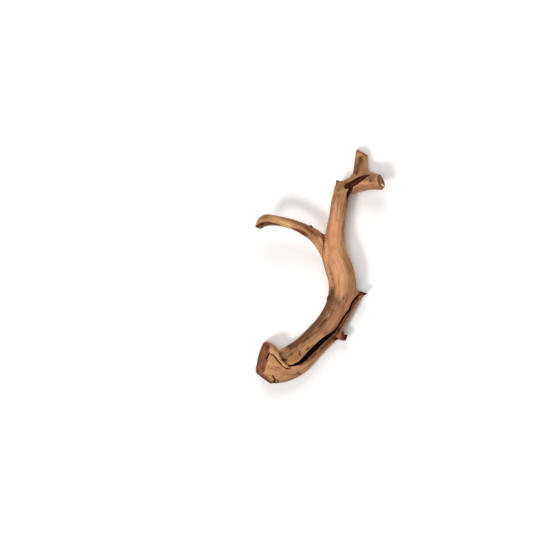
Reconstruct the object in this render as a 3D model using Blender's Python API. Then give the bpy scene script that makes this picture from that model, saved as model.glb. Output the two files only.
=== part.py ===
"""Manzanita driftwood: one short, weathered limb that lies on a surface.

Metres, +Z up. The wood rests on z = 0 and its origin is the middle of its footprint. +Y runs
along its length, from the sawn heel to the forked top. All of it grew as one piece, so it is one
closed solid: two stems that rise from one heel and lie side by side, a side branch, an arm that
bends away at the top and a stub on that arm. Each limb is a loft of oval rings along a smooth
path. The limbs are fused, then sawn, split and hollowed.
"""

import math

import bmesh
import bpy
from mathutils import Vector

MM = 0.001

# Limbs
# Each station of a limb is its centre, its half width across the view from above and its half
# depth, all in millimetres.
MAIN_STEM = (
    (-56, -124.5, 22, 12.3, 12.0),
    (-41, -116, 24, 12.7, 12.5),
    (-23.5, -104, 26, 12.6, 13.0),
    (-6.5, -88.5, 27, 13.4, 13.5),
    (9, -70.5, 27.5, 14.7, 14.5),
    (21.5, -50, 27.5, 16.3, 15.5),
    (28, -30.5, 27.5, 17.0, 16.0),
    (28, -13.5, 27.5, 17.3, 16.0),
    (24.5, 3, 28, 16.8, 15.5),
    (20.5, 18.5, 28.5, 14.5, 14.0),
    (19.5, 34.5, 28.5, 12.5, 12.5),
    (20.5, 49.5, 28, 11.3, 11.5),
    (22, 62, 27.5, 11.0, 11.5),
    (23.5, 72.5, 27, 11.0, 11.5),
    (25.5, 83, 26.5, 11.4, 12.0),
    (28.5, 92, 26, 12.2, 12.5),
    (34, 99.5, 25.5, 12.5, 12.5),
    (41.5, 104.5, 25.5, 12.1, 12.0),
    (49, 108, 26.5, 11.7, 11.5),
    (58, 110, 29, 10.8, 11.0),
    (68.5, 110.5, 32, 10.3, 10.5),
    (79, 109.5, 35, 9.8, 10.0),
    (90, 108, 38, 9.4, 9.5),
)
SECOND_STEM = (
    (-92, -120, 20.6, 25.6, 22.0),
    (-76, -123.5, 20.6, 25.6, 22.0),
    (-64.5, -126.5, 20.4, 25.8, 21.5),
    (-52.5, -130, 19.5, 20.7, 19.0),
    (-39.5, -131.5, 18, 16.0, 16.5),
    (-24.5, -125, 16.5, 12.2, 15.0),
    (-10.5, -113.8, 15.5, 10.6, 14.0),
    (1.3, -101.8, 14.5, 9.9, 13.5),
    (12.7, -89.2, 13.5, 9.6, 13.0),
    (22.5, -77.2, 13, 9.4, 13.2),
    (31, -63.8, 13, 9.0, 13.2),
    (38, -51, 14.5, 8.3, 12.0),
    (45, -42.5, 17, 7.2, 9.5),
    (52.5, -37.3, 19, 4.8, 6.0),
    (58.5, -34.7, 20, 2.2, 2.6),
)
SIDE_BRANCH = (
    (16.5, 11.5, 28, 11.0, 10.5),
    (9.5, 20.5, 30, 10.4, 9.5),
    (1.5, 31, 33, 9.2, 8.5),
    (-9, 41, 37, 7.5, 7.5),
    (-24.5, 51, 42.5, 6.6, 7.0),
    (-37, 55.5, 46.5, 6.2, 7.0),
    (-49.5, 58.8, 50, 6.1, 7.5),
    (-61, 60.5, 52.5, 6.6, 8.0),
    (-69.5, 60.3, 53.5, 7.2, 8.0),
    (-75.5, 57.5, 53, 6.6, 7.0),
    (-79.5, 52, 51.5, 4.6, 5.5),
)
STUB = (
    (50.5, 109, 24, 11.0, 10.0),
    (53, 120.5, 20, 9.9, 9.5),
    (53.5, 130.5, 15.0, 9.0, 9.0),
    (54, 141.5, 9.4, 8.3, 8.6),
    (54.5, 151.5, 7.0, 8.1, 8.6),
    (55, 162, 6.0, 8.1, 8.6),
)
CORNER_SPUR = (
    (32, 94.5, 25, 10.5, 9.5),
    (26.5, 102.5, 26, 7.8, 7.5),
    (23, 108, 26.5, 4.2, 4.5),
    (20.8, 112.2, 27, 1.5, 1.8),
)
BROKEN_TWIG = (
    (20, -84.5, 13, 6.0, 6.0),
    (27, -89.3, 15.5, 4.6, 4.6),
    (33.3, -91.4, 17, 3.3, 3.3),
    (36.5, -91.8, 18, 2.6, 2.6),
)

RING_STEP = 4.0
RING_SIDES = 28
# Flutes: how many go round, how deep each is as a share of the radius, and how far it winds, in
# radians for each millimetre of travel.
FLUTES = ((2, 0.030, 0.012), (3, 0.034, 0.021), (5, 0.026, -0.016), (7, 0.016, 0.024))

# Fusing: the voxel size rounds the crotches, and the share of faces is kept after it.
VOXEL = 2.3
SMOOTH_PASSES = 3
FACES_KEPT = 0.36

# Lip: the rolled rim of live wood where the heel grew over the foot of the main stem.
LIP = (
    (-64.5, -101, 2.6),
    (-57, -109, 3.0),
    (-51.5, -118.5, 3.2),
    (-46, -125.5, 3.0),
    (-38.5, -129.5, 2.2),
)
LIP_SUNK = 1.0
LIP_SIDES = 12

# Saw cuts: a point on each cut and the direction that it faces.
SAWN_HEEL = ((-74.8, -116, 21), (-0.945, 0.225, 0.24))
HEEL_BEVEL = ((-73.7, -143.7, 21), (-0.66, -0.74, 0.10))
SAWN_ARM = ((81.0, 107, 35), (0.90, 0.33, 0.27))
ARM_BEVEL = ((82.3, 102.5, 33), (0.75, -0.64, 0.15))
SAWN_STUB = ((54.8, 148.0, 8), (0.485, 0.865, 0.12))
BROKEN_TIP = ((-80.5, 50.5, 51), (-0.72, -0.68, 0.1))
CUT_BLOCK = 90.0
TIP_BLOCK = 30.0

# Splits and hollows in the upper side: plan position, half width and depth below the surface.
CLEFT = (
    (-41, -128.5, 0.8, 4),
    (-31.5, -126.3, 1.6, 9),
    (-23, -121, 2.3, 12),
    (-15, -113, 2.8, 14),
    (-6.5, -104.7, 2.9, 15),
    (1.7, -97.2, 2.7, 15),
    (10, -90.6, 2.3, 14),
    (17.4, -85.5, 1.8, 13),
    (22.5, -79, 1.4, 12),
    (28.2, -70, 1.3, 12),
    (33.4, -62, 1.3, 11),
    (38.3, -55.4, 1.2, 10),
    (41.7, -47, 1.2, 9),
    (45.9, -41.2, 1.1, 7),
    (51.6, -36.4, 0.9, 4),
)
ARM_HOLLOW = (
    (32.5, 103.5, 2.2, 2.5),
    (39.5, 107.0, 3.8, 5.0),
    (48.5, 110.8, 4.2, 5.0),
    (58, 115.0, 3.4, 3.8),
    (66, 118.5, 1.8, 2.0),
)
ARM_SLOT = (
    (41.5, 102.5, 1.6, 3.0),
    (38.2, 96.3, 1.9, 3.5),
    (35, 89.5, 1.2, 2.5),
)
TRUNK_CRACK = (
    (6.0, -68.5, 0.6, 1.5),
    (0.5, -76.0, 1.0, 3.0),
    (-9.5, -84.5, 0.6, 1.5),
)
BRANCH_GOUGE = (
    (-15.0, 43.0, 1.2, 2.5),
    (-24.5, 46.5, 2.2, 4.0),
    (-35.0, 50.2, 1.4, 2.5),
)
HOLLOW_TIP = (
    (-56.0, 54.6, 1.4, 2.5),
    (-66.0, 55.6, 2.6, 6.0),
    (-74.5, 54.2, 3.2, 8.0),
    (-82.5, 49.5, 3.4, 9.0),
)
GROOVES = {
    "cleft": CLEFT,
    "arm_hollow": ARM_HOLLOW,
    "arm_slot": ARM_SLOT,
    "trunk_crack": TRUNK_CRACK,
    "branch_gouge": BRANCH_GOUGE,
    "hollow_tip": HOLLOW_TIP,
}
GROOVE_STEP = 3.0
GROOVE_ABOVE = 4.0
# Each groove is wider than stated above the surface and narrower at its shoulder and floor.
GROOVE_MOUTH = 1.25
GROOVE_SHOULDER = 0.85
GROOVE_FLOOR = 0.35
SHOULDER_DEPTH = 0.45

# Rest: the floor cut leaves a small flat spot under each of the three low points, which are the
# heel, the second stem and the end of the stub.
FLOOR_BLOCK = 400.0
OVERHEAD = 200.0

# Finish
WOOD_COLOUR = (0.55, 0.29, 0.145, 1.0)
WOOD_ROUGHNESS = 0.62
SMOOTH_ANGLE = math.radians(38)


def clear_scene():
    """Removes what the file opened with."""
    for leftover in list(bpy.data.objects):
        bpy.data.objects.remove(leftover, do_unlink=True)


def hermite(before, start, end, after, t):
    """One point of the smooth curve that passes through every station (Catmull and Rom)."""
    out = []
    for a, b, c, d in zip(before, start, end, after):
        out.append(0.5 * (2 * b + (c - a) * t + (2 * a - 5 * b + 4 * c - d) * t**2
                          + (3 * b - a - 3 * c + d) * t**3))
    return tuple(out)


def smooth_path(stations, step):
    """The stations and the points between them, about one step apart, in millimetres."""
    points = []
    last = len(stations) - 1
    for i in range(last):
        before = stations[max(i - 1, 0)]
        after = stations[min(i + 2, last)]
        start, end = stations[i], stations[i + 1]
        pieces = max(1, round(math.dist(start[:2], end[:2]) / step))
        for k in range(pieces):
            points.append(hermite(before, start, end, after, k / pieces))
    points.append(stations[last])
    return points


def flute(turn, travel):
    """How far the ring swells at this angle: a few shallow flutes that wind along the limb."""
    return 1 + sum(depth * math.cos(count * turn + wind * travel) for count, depth, wind in FLUTES)


def loft(name, rings, collection):
    """A closed body through rings of points. Each end is capped with a fan of triangles."""
    shell = bmesh.new()
    rows = [[shell.verts.new(Vector(point) * MM) for point in ring] for ring in rings]
    sides = len(rows[0])
    for first, second in zip(rows, rows[1:]):
        for k in range(sides):
            following = (k + 1) % sides
            shell.faces.new((first[k], first[following], second[following], second[k]))
    for row in (rows[0], rows[-1]):
        middle = shell.verts.new(sum((v.co for v in row), Vector()) / sides)
        for k in range(sides):
            shell.faces.new((middle, row[k], row[(k + 1) % sides]))
    bmesh.ops.recalc_face_normals(shell, faces=shell.faces)
    mesh = bpy.data.meshes.new(name)
    shell.to_mesh(mesh)
    shell.free()
    body = bpy.data.objects.new(name, mesh)
    collection.objects.link(body)
    return body


def limb(name, stations, collection):
    """An oval, fluted limb along its stations. Its rings stand square to its path."""
    path = smooth_path(stations, RING_STEP)
    rings = []
    travel = 0.0
    for i, (x, y, z, half_width, half_depth) in enumerate(path):
        ahead = Vector(path[min(i + 1, len(path) - 1)][:3])
        behind = Vector(path[max(i - 1, 0)][:3])
        along = (ahead - behind).normalized()
        across = along.cross(Vector((0, 0, 1))).normalized()
        upward = across.cross(along)
        centre = Vector((x, y, z))
        ring = []
        for k in range(RING_SIDES):
            turn = math.tau * k / RING_SIDES
            swell = flute(turn, travel)
            ring.append(centre + across * (half_width * swell * math.cos(turn))
                        + upward * (half_depth * swell * math.sin(turn)))
        rings.append(ring)
        travel += (ahead - centre).length
    return loft(name, rings, collection)


def bake_modifiers(body):
    """Makes what the modifiers give the object's own mesh."""
    graph = bpy.context.evaluated_depsgraph_get()
    mesh = bpy.data.meshes.new_from_object(body.evaluated_get(graph))
    body.modifiers.clear()
    body.data = mesh


def remove_collection(collection):
    """Deletes a collection and every object in it."""
    for helper in list(collection.objects):
        bpy.data.objects.remove(helper, do_unlink=True)
    bpy.data.collections.remove(collection)


def combine(body, collection, operation):
    """Joins a collection's closed bodies to the wood, or cuts them from it, and deletes them."""
    boolean = body.modifiers.new("combine", "BOOLEAN")
    boolean.operand_type = "COLLECTION"
    boolean.collection = collection
    boolean.operation = operation
    boolean.solver = "EXACT"
    boolean.use_self = True
    bake_modifiers(body)
    remove_collection(collection)


def helpers(name):
    """A new collection for shapes that are joined to the wood or cut from it."""
    collection = bpy.data.collections.new(name)
    bpy.context.scene.collection.children.link(collection)
    return collection


def fuse(body):
    """Turns the joined limbs into one skin whose crotches are rounded, with fewer faces."""
    remesh = body.modifiers.new("one skin", "REMESH")
    remesh.mode = "VOXEL"
    remesh.voxel_size = VOXEL * MM
    remesh.adaptivity = 0.0
    soften = body.modifiers.new("round the crotches", "SMOOTH")
    soften.factor = 0.5
    soften.iterations = SMOOTH_PASSES
    thin = body.modifiers.new("fewer faces", "DECIMATE")
    thin.ratio = FACES_KEPT
    bake_modifiers(body)


def surface_height(body, x, y):
    """The height of the wood's upper side under a plan position, in millimetres, or None."""
    hit, place, _, _ = body.ray_cast(Vector((x, y, OVERHEAD)) * MM, Vector((0, 0, -1)))
    return place.z / MM if hit else None


def draped(body, route, step):
    """A route's points with the height of the wood under each, leaving out those off the wood."""
    found = []
    for point in smooth_path(route, step):
        height = surface_height(body, point[0], point[1])
        if height is not None:
            found.append((point, height))
    return found


def plan_directions(places):
    """The direction of travel at each place, seen from above."""
    out = []
    for i in range(len(places)):
        ahead = Vector(places[min(i + 1, len(places) - 1)][0][:2])
        behind = Vector(places[max(i - 1, 0)][0][:2])
        out.append((ahead - behind).normalized())
    return out


def lip(body, collection):
    """The rolled lip, a round bead that lies on the heel."""
    places = draped(body, LIP, GROOVE_STEP)
    rings = []
    for (point, height), along in zip(places, plan_directions(places)):
        centre = Vector((point[0], point[1], height - LIP_SUNK))
        across = Vector((along.y, -along.x, 0))
        ring = []
        for k in range(LIP_SIDES):
            turn = math.tau * k / LIP_SIDES
            ring.append(centre + point[2] * (across * math.cos(turn)
                                             + Vector((0, 0, 1)) * math.sin(turn)))
        rings.append(ring)
    return loft("lip", rings, collection)


def groove(name, body, route, collection):
    """A tapered blade along a route. It cuts from above the surface down to the stated depth."""
    places = draped(body, route, GROOVE_STEP)
    rings = []
    for (point, height), along in zip(places, plan_directions(places)):
        x, y, half_width, depth = point
        across = Vector((along.y, -along.x, 0))
        mouth = Vector((x, y, height + GROOVE_ABOVE))
        shoulder = Vector((x, y, height - SHOULDER_DEPTH * depth))
        floor = Vector((x, y, height - depth))
        rings.append((
            mouth + across * half_width * GROOVE_MOUTH,
            shoulder + across * half_width * GROOVE_SHOULDER,
            floor + across * half_width * GROOVE_FLOOR,
            floor - across * half_width * GROOVE_FLOOR,
            shoulder - across * half_width * GROOVE_SHOULDER,
            mouth - across * half_width * GROOVE_MOUTH,
        ))
    return loft(name, rings, collection)


def cutting_block(name, place, facing, size, collection):
    """A block whose one face is the cut. It takes away what lies beyond that face."""
    outward = Vector(facing).normalized()
    across = outward.orthogonal().normalized()
    upward = outward.cross(across)
    half = size / 2
    rings = []
    for reach in (0, size):
        middle = Vector(place) + outward * reach
        rings.append([middle + across * half * a + upward * half * b
                      for a, b in ((-1, -1), (1, -1), (1, 1), (-1, 1))])
    return loft(name, rings, collection)


def saw_cuts(collection):
    """The sawn heel, arm and stub, the broken branch tip, and the floor under the low points."""
    cuts = {
        "sawn_heel": SAWN_HEEL,
        "heel_bevel": HEEL_BEVEL,
        "sawn_arm": SAWN_ARM,
        "arm_bevel": ARM_BEVEL,
        "sawn_stub": SAWN_STUB,
        "broken_tip": BROKEN_TIP,
    }
    for name, (place, facing) in cuts.items():
        size = TIP_BLOCK if name == "broken_tip" else CUT_BLOCK
        cutting_block(name, place, facing, size, collection)
    cutting_block("floor", (0, 0, 0), (0, 0, -1), FLOOR_BLOCK, collection)


def finish(body):
    """Wood's colour, and shading that is smooth except at the cut edges."""
    wood = bpy.data.materials.new("weathered manzanita")
    wood.use_nodes = True
    shader = wood.node_tree.nodes["Principled BSDF"]
    shader.inputs["Base Color"].default_value = WOOD_COLOUR
    shader.inputs["Roughness"].default_value = WOOD_ROUGHNESS
    body.data.materials.clear()
    body.data.materials.append(wood)
    body.data.shade_smooth()
    body.data.set_sharp_from_angle(angle=SMOOTH_ANGLE)


def build():
    """The whole piece of driftwood, as one closed solid."""
    clear_scene()
    wood = limb("driftwood", MAIN_STEM, bpy.context.scene.collection)
    limbs = helpers("limbs")
    limb("second_stem", SECOND_STEM, limbs)
    limb("side_branch", SIDE_BRANCH, limbs)
    limb("stub", STUB, limbs)
    limb("corner_spur", CORNER_SPUR, limbs)
    limb("broken_twig", BROKEN_TWIG, limbs)
    combine(wood, limbs, "UNION")
    fuse(wood)
    beads = helpers("beads")
    lip(wood, beads)
    combine(wood, beads, "UNION")
    cuts = helpers("cuts")
    for name, route in GROOVES.items():
        groove(name, wood, route, cuts)
    saw_cuts(cuts)
    combine(wood, cuts, "DIFFERENCE")
    finish(wood)
    return wood


if __name__ == "__main__":
    build()
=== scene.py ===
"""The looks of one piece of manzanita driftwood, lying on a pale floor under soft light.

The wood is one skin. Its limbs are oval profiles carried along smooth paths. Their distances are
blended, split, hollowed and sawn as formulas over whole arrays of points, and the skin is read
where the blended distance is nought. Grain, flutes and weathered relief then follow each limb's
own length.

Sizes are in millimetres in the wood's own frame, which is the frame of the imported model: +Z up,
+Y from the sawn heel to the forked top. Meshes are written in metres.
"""

import logging
import math
from dataclasses import dataclass, field
from enum import Enum, IntEnum

import bpy
import numpy as np
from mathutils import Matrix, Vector


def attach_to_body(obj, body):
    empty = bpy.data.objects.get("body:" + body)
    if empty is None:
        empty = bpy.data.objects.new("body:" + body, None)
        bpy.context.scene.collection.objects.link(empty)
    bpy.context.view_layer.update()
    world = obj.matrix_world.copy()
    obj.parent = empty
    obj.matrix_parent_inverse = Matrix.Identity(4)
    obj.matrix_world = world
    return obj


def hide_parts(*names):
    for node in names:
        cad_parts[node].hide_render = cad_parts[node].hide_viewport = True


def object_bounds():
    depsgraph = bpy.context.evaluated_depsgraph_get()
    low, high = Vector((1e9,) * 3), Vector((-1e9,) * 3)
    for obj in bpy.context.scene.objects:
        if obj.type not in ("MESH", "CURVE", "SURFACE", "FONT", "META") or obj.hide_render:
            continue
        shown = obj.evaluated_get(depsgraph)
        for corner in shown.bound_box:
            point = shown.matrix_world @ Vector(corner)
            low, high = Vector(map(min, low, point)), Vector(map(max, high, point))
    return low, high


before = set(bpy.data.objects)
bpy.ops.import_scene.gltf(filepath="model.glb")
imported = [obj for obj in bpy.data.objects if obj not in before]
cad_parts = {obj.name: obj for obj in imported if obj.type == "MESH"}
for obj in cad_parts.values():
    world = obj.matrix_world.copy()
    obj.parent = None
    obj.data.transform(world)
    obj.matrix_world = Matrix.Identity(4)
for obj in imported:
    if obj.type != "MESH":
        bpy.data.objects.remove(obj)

cad_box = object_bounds()

# A millimetre, in the frame's metres
MM = 0.001
# How many points are set against a path's samples at a time
CHUNK = 40000
# The distance given where a limb is out of reach
FAR = 60.0
# How much brighter than its own colour a surface shows in the studio
STUDIO_LIGHT = 1.10

log = logging.getLogger("driftwood")


class Side(Enum):
    """Which side of the wood a split, a hollow or a mark is on."""

    UPPER = 1.0
    LOWER = -1.0

    def facing(self, upward: np.ndarray) -> np.ndarray:
        """How far skin faces this side, which fades out where the skin turns past upright."""
        return fade(-0.60, 0.25, upward * self.value)

    def start(self) -> float:
        """A height from which the wood is looked for on this side, clear of all of it."""
        return 70.0 if self is Side.UPPER else -6.0


class Form(Enum):
    """How a groove is shaped across: a narrow tapered slot, or a round-bottomed scoop."""

    BLADE = "blade"
    SCOOP = "scoop"


class Cut(Enum):
    """How an end was made: by a saw, by breaking, or by weathering."""

    SAWN = "sawn"
    BROKEN = "broken"
    WORN = "worn"


class Tone(Enum):
    """What a mark does to the wood's colour."""

    # The hollows' dark wood, and painted shade in the splits, cracks and hollows
    HOLLOW = "hollow"
    # Stains, and painted shade on the steep flanks, the lower trunk, the stem's foot, the cleft's slope and
    # the branch's crotch
    STAIN_AND_SHADE = "stain_and_shade"
    BLUSH = "blush"
    # Pale wood, and the painted highlight on the side branch's crest
    PALE = "pale"
    ROSY = "rosy"
    OLIVE = "olive"
    CHIP = "chip"


class Seed(IntEnum):
    """Which field of noise makes what uneven."""

    GROOVE = 31
    SPLINTERS = 47
    SAW_MARKS = 61
    SAW_RASP = 67
    FOLDS = 83
    FLANKS = 97


def fade(low: float, high: float, values: np.ndarray) -> np.ndarray:
    """A smooth step: 0 at low, 1 at high, with level ends.

    Args:
        low: Where the step starts.
        high: Where the step ends. It may be under low, which turns the step round.
        values: The values to read the step at.

    Returns:
        3t^2 - 2t^3, where t is the share of the way from low to high, kept in 0 to 1.
    """
    t = np.clip((values - low) / (high - low), 0.0, 1.0)
    return t * t * (3.0 - 2.0 * t)


def blend_min(first: np.ndarray, second: np.ndarray, width: float) -> np.ndarray:
    """The smaller of two distances, rounded where they are alike, which fillets a crotch.

    Args:
        first: Distances to one body.
        second: Distances to the other body.
        width: How far apart the two may be and still round each other off.

    Returns:
        mix(second, first, h) - width h (1 - h), where h is 1/2 + (second - first) / (2 width),
        kept in 0 to 1.
    """
    h = np.clip(0.5 + 0.5 * (second - first) / width, 0.0, 1.0)
    return second + (first - second) * h - width * h * (1.0 - h)


def blend_max(first: np.ndarray, second: np.ndarray, width: float) -> np.ndarray:
    """The larger of two distances, rounded where they are alike, which softens a cut's edge."""
    return -blend_min(-first, -second, width)


def hashed(ix: np.ndarray, iy: np.ndarray, iz: np.ndarray, seed: int) -> np.ndarray:
    """A fixed value from -1 to 1 for each whole-numbered place.

    Args:
        ix: First whole number of each place.
        iy: Second whole number of each place.
        iz: Third whole number of each place.
        seed: Picks one of many such fields.

    Returns:
        The numbers are multiplied by large odd numbers, added, and folded on themselves twice.
    """
    mixed = (ix * 374761393 + iy * 668265263 + iz * 974634777 + seed * 362437) & 0xFFFFFFFF
    mixed = ((mixed ^ (mixed >> 13)) * 1274126177) & 0xFFFFFFFF
    mixed = mixed ^ (mixed >> 16)
    return mixed / 2147483647.5 - 1.0


def noise(points: np.ndarray, seed: int) -> np.ndarray:
    """Smooth noise from -1 to 1, one lump for each unit cell.

    Args:
        points: Places, as rows of three numbers.
        seed: Picks the field.

    Returns:
        The hashed values of the eight corners of each point's cell, weighted by 6t^5 - 15t^4 +
        10t^3 along each axis.
    """
    cell = np.floor(points)
    t = points - cell
    t = t * t * t * (t * (t * 6.0 - 15.0) + 10.0)
    ix, iy, iz = cell.astype(np.int64).T
    total = np.zeros(len(points))
    for dx in (0, 1):
        wx = t[:, 0] if dx else 1.0 - t[:, 0]
        for dy in (0, 1):
            wy = t[:, 1] if dy else 1.0 - t[:, 1]
            for dz in (0, 1):
                wz = t[:, 2] if dz else 1.0 - t[:, 2]
                total += wx * wy * wz * hashed(ix + dx, iy + dy, iz + dz, seed)
    return total


class SmoothPath:
    """A smooth curve through stations, whose sizes change smoothly with it.

    Each station is a row: its place, of two or three numbers, and then its sizes. Between two
    stations every number is the cubic that passes through both and leaves each in the direction
    from the station before it to the station after it.
    """

    NEWTON_STEPS = 3
    LONGEST_STEP = 0.3
    LEAST_RISE = 1.0

    def __init__(self, stations: np.ndarray, axes: int, fineness: int = 6) -> None:
        """Works out the cubics.

        Args:
            stations: The rows.
            axes: How many numbers of a row are its place.
            fineness: Samples between stations, from which the search for the nearest one starts.
        """
        rows = np.asarray(stations, float)
        before = np.vstack([rows[:1], rows[:-2]])
        start, end = rows[:-1], rows[1:]
        after = np.vstack([rows[2:], rows[-1:]])
        self.axes = axes
        self.last = len(rows) - 1
        self.cubics = np.stack([
            start,
            (end - before) / 2,
            (2 * before - 5 * start + 4 * end - after) / 2,
            (3 * start - before - 3 * end + after) / 2,
        ], axis=1)
        self.sample_travel = np.linspace(0, self.last, self.last * fineness + 1)
        self.samples = self.at(self.sample_travel)[:, :axes]
        steps = np.linalg.norm(np.diff(self.samples, axis=0), axis=1)
        self.sample_length = np.concatenate([[0.0], np.cumsum(steps)])

    def at(self, travel: np.ndarray, order: int = 0) -> np.ndarray:
        """The numbers of a station anywhere on the path, or how fast they change.

        Args:
            travel: How far along, counted in stations.
            order: 0 for the numbers, 1 for their first rate of change, 2 for the second.

        Returns:
            One row for each value of travel.
        """
        span = np.clip(np.floor(travel).astype(int), 0, self.last - 1)
        t = (travel - span)[:, None]
        c0, c1, c2, c3 = np.moveaxis(self.cubics[span], 1, 0)
        if order == 0:
            return c0 + t * (c1 + t * (c2 + t * c3))
        if order == 1:
            return c1 + t * (2 * c2 + 3 * t * c3)
        return 2 * c2 + 6 * t * c3

    def nearest(self, points: np.ndarray) -> np.ndarray:
        """How far along the path the nearest place to each point is, counted in stations.

        Args:
            points: Rows of as many numbers as the path has axes.

        Returns:
            The nearest sample's travel, bettered by a few Newton steps on the slope of the
            squared distance.
        """
        travel = np.empty(len(points))
        squares = (self.samples ** 2).sum(1)
        for first in range(0, len(points), CHUNK):
            part = points[first:first + CHUNK]
            travel[first:first + CHUNK] = self.sample_travel[
                np.argmin(squares - 2 * part @ self.samples.T, axis=1)]
        for _ in range(self.NEWTON_STEPS):
            away = self.at(travel)[:, :self.axes] - points
            speed = self.at(travel, 1)[:, :self.axes]
            turn = self.at(travel, 2)[:, :self.axes]
            slope = (away * speed).sum(1)
            rise = np.maximum((speed ** 2).sum(1) + (away * turn).sum(1), self.LEAST_RISE)
            step = np.clip(slope / rise, -self.LONGEST_STEP, self.LONGEST_STEP)
            travel = np.clip(travel - step, 0, self.last)
        return travel

    def beside(self, points: np.ndarray) -> tuple[np.ndarray, np.ndarray, np.ndarray]:
        """Where points lie beside a path in plan.

        Args:
            points: Rows of three numbers, in millimetres.

        Returns:
            How far along the nearest place is, its numbers, and how far off it the point is.
        """
        travel = self.nearest(points[:, :2])
        station = self.at(travel)
        return travel, station, np.linalg.norm(points[:, :2] - station[:, :2], axis=1)

    def length_at(self, travel: np.ndarray) -> np.ndarray:
        """The length of the path up to each travel, in millimetres."""
        return np.interp(travel, self.sample_travel, self.sample_length)


@dataclass(frozen=True)
class Bearing:
    """Where points lie in a limb's own straightened frame, in millimetres."""

    along: np.ndarray
    across: np.ndarray
    upward: np.ndarray
    beyond: np.ndarray
    half_width: np.ndarray
    half_depth: np.ndarray


@dataclass
class LimbShape:
    """An oval, fluted limb along a smooth path.

    Each station is its centre, its half width across the view from above and its half depth. A
    flute is how many go round, how deep each is as a share of the radius, and how far it winds
    for each millimetre.
    """

    stations: tuple
    fillet: float
    flutes: tuple = ((2, 0.030, 0.012), (3, 0.034, 0.021), (5, 0.026, -0.016), (7, 0.016, 0.024))
    shrink: float = 0.25
    margin: float = 14.0
    path: SmoothPath = field(init=False)
    low: np.ndarray = field(init=False)
    high: np.ndarray = field(init=False)

    def __post_init__(self) -> None:
        """Lays the path and the box outside which the limb is out of reach."""
        self.path = SmoothPath(self.stations, 3)
        rows = np.asarray(self.stations, float)
        reach = rows[:, 3:].max(1)[:, None] + self.margin
        self.low = (rows[:, :3] - reach).min(0)
        self.high = (rows[:, :3] + reach).max(0)

    def near(self, points: np.ndarray) -> np.ndarray:
        """Which points are within the limb's reach."""
        return np.all((points > self.low) & (points < self.high), axis=1)

    def bearing(self, points: np.ndarray) -> Bearing:
        """Each point's place in the limb's straightened frame.

        The frame stands square to the path: across is level, and upward is square to both.

        Args:
            points: Rows of three numbers, in millimetres.

        Returns:
            The bearing of every point from its nearest place on the path.
        """
        travel = self.path.nearest(points)
        station = self.path.at(travel)
        ahead = self.path.at(travel, 1)[:, :3]
        ahead /= np.linalg.norm(ahead, axis=1, keepdims=True)
        level = np.stack([ahead[:, 1], -ahead[:, 0], np.zeros(len(ahead))], axis=1)
        level /= np.linalg.norm(level, axis=1, keepdims=True)
        rise = np.cross(level, ahead)
        out = points - station[:, :3]
        return Bearing(
            along=self.path.length_at(travel),
            across=(out * level).sum(1),
            upward=(out * rise).sum(1),
            beyond=(out * ahead).sum(1),
            half_width=station[:, 3],
            half_depth=station[:, 4],
        )

    def clearance(self, points: np.ndarray) -> np.ndarray:
        """The distance of each point outside the limb, negative inside.

        The distance from the path, less the radius of the oval at the point's angle times one
        plus the flutes, each a cosine of a multiple of the angle plus its wind.

        Args:
            points: Rows of three numbers, in millimetres.

        Returns:
            The distances, or a large one where the limb is out of reach.
        """
        result = np.full(len(points), FAR)
        near = self.near(points)
        if not near.any():
            return result
        found = self.bearing(points[near])
        reach = np.hypot(found.across, found.upward) + 1e-6
        angle = np.arctan2(found.upward, found.across)
        oval = reach / np.hypot(found.across / found.half_width, found.upward / found.half_depth)
        swell = np.ones(len(reach))
        for count, depth, wind in self.flutes:
            swell += depth * np.cos(count * angle + wind * found.along)
        result[near] = np.hypot(reach, found.beyond) - oval * swell + self.shrink
        return result


def replaced(values: np.ndarray, where: np.ndarray, new: np.ndarray) -> np.ndarray:
    """A copy of an array of values with new ones where they are wanted."""
    result = values.copy()
    result[where] = new
    return result


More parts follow.
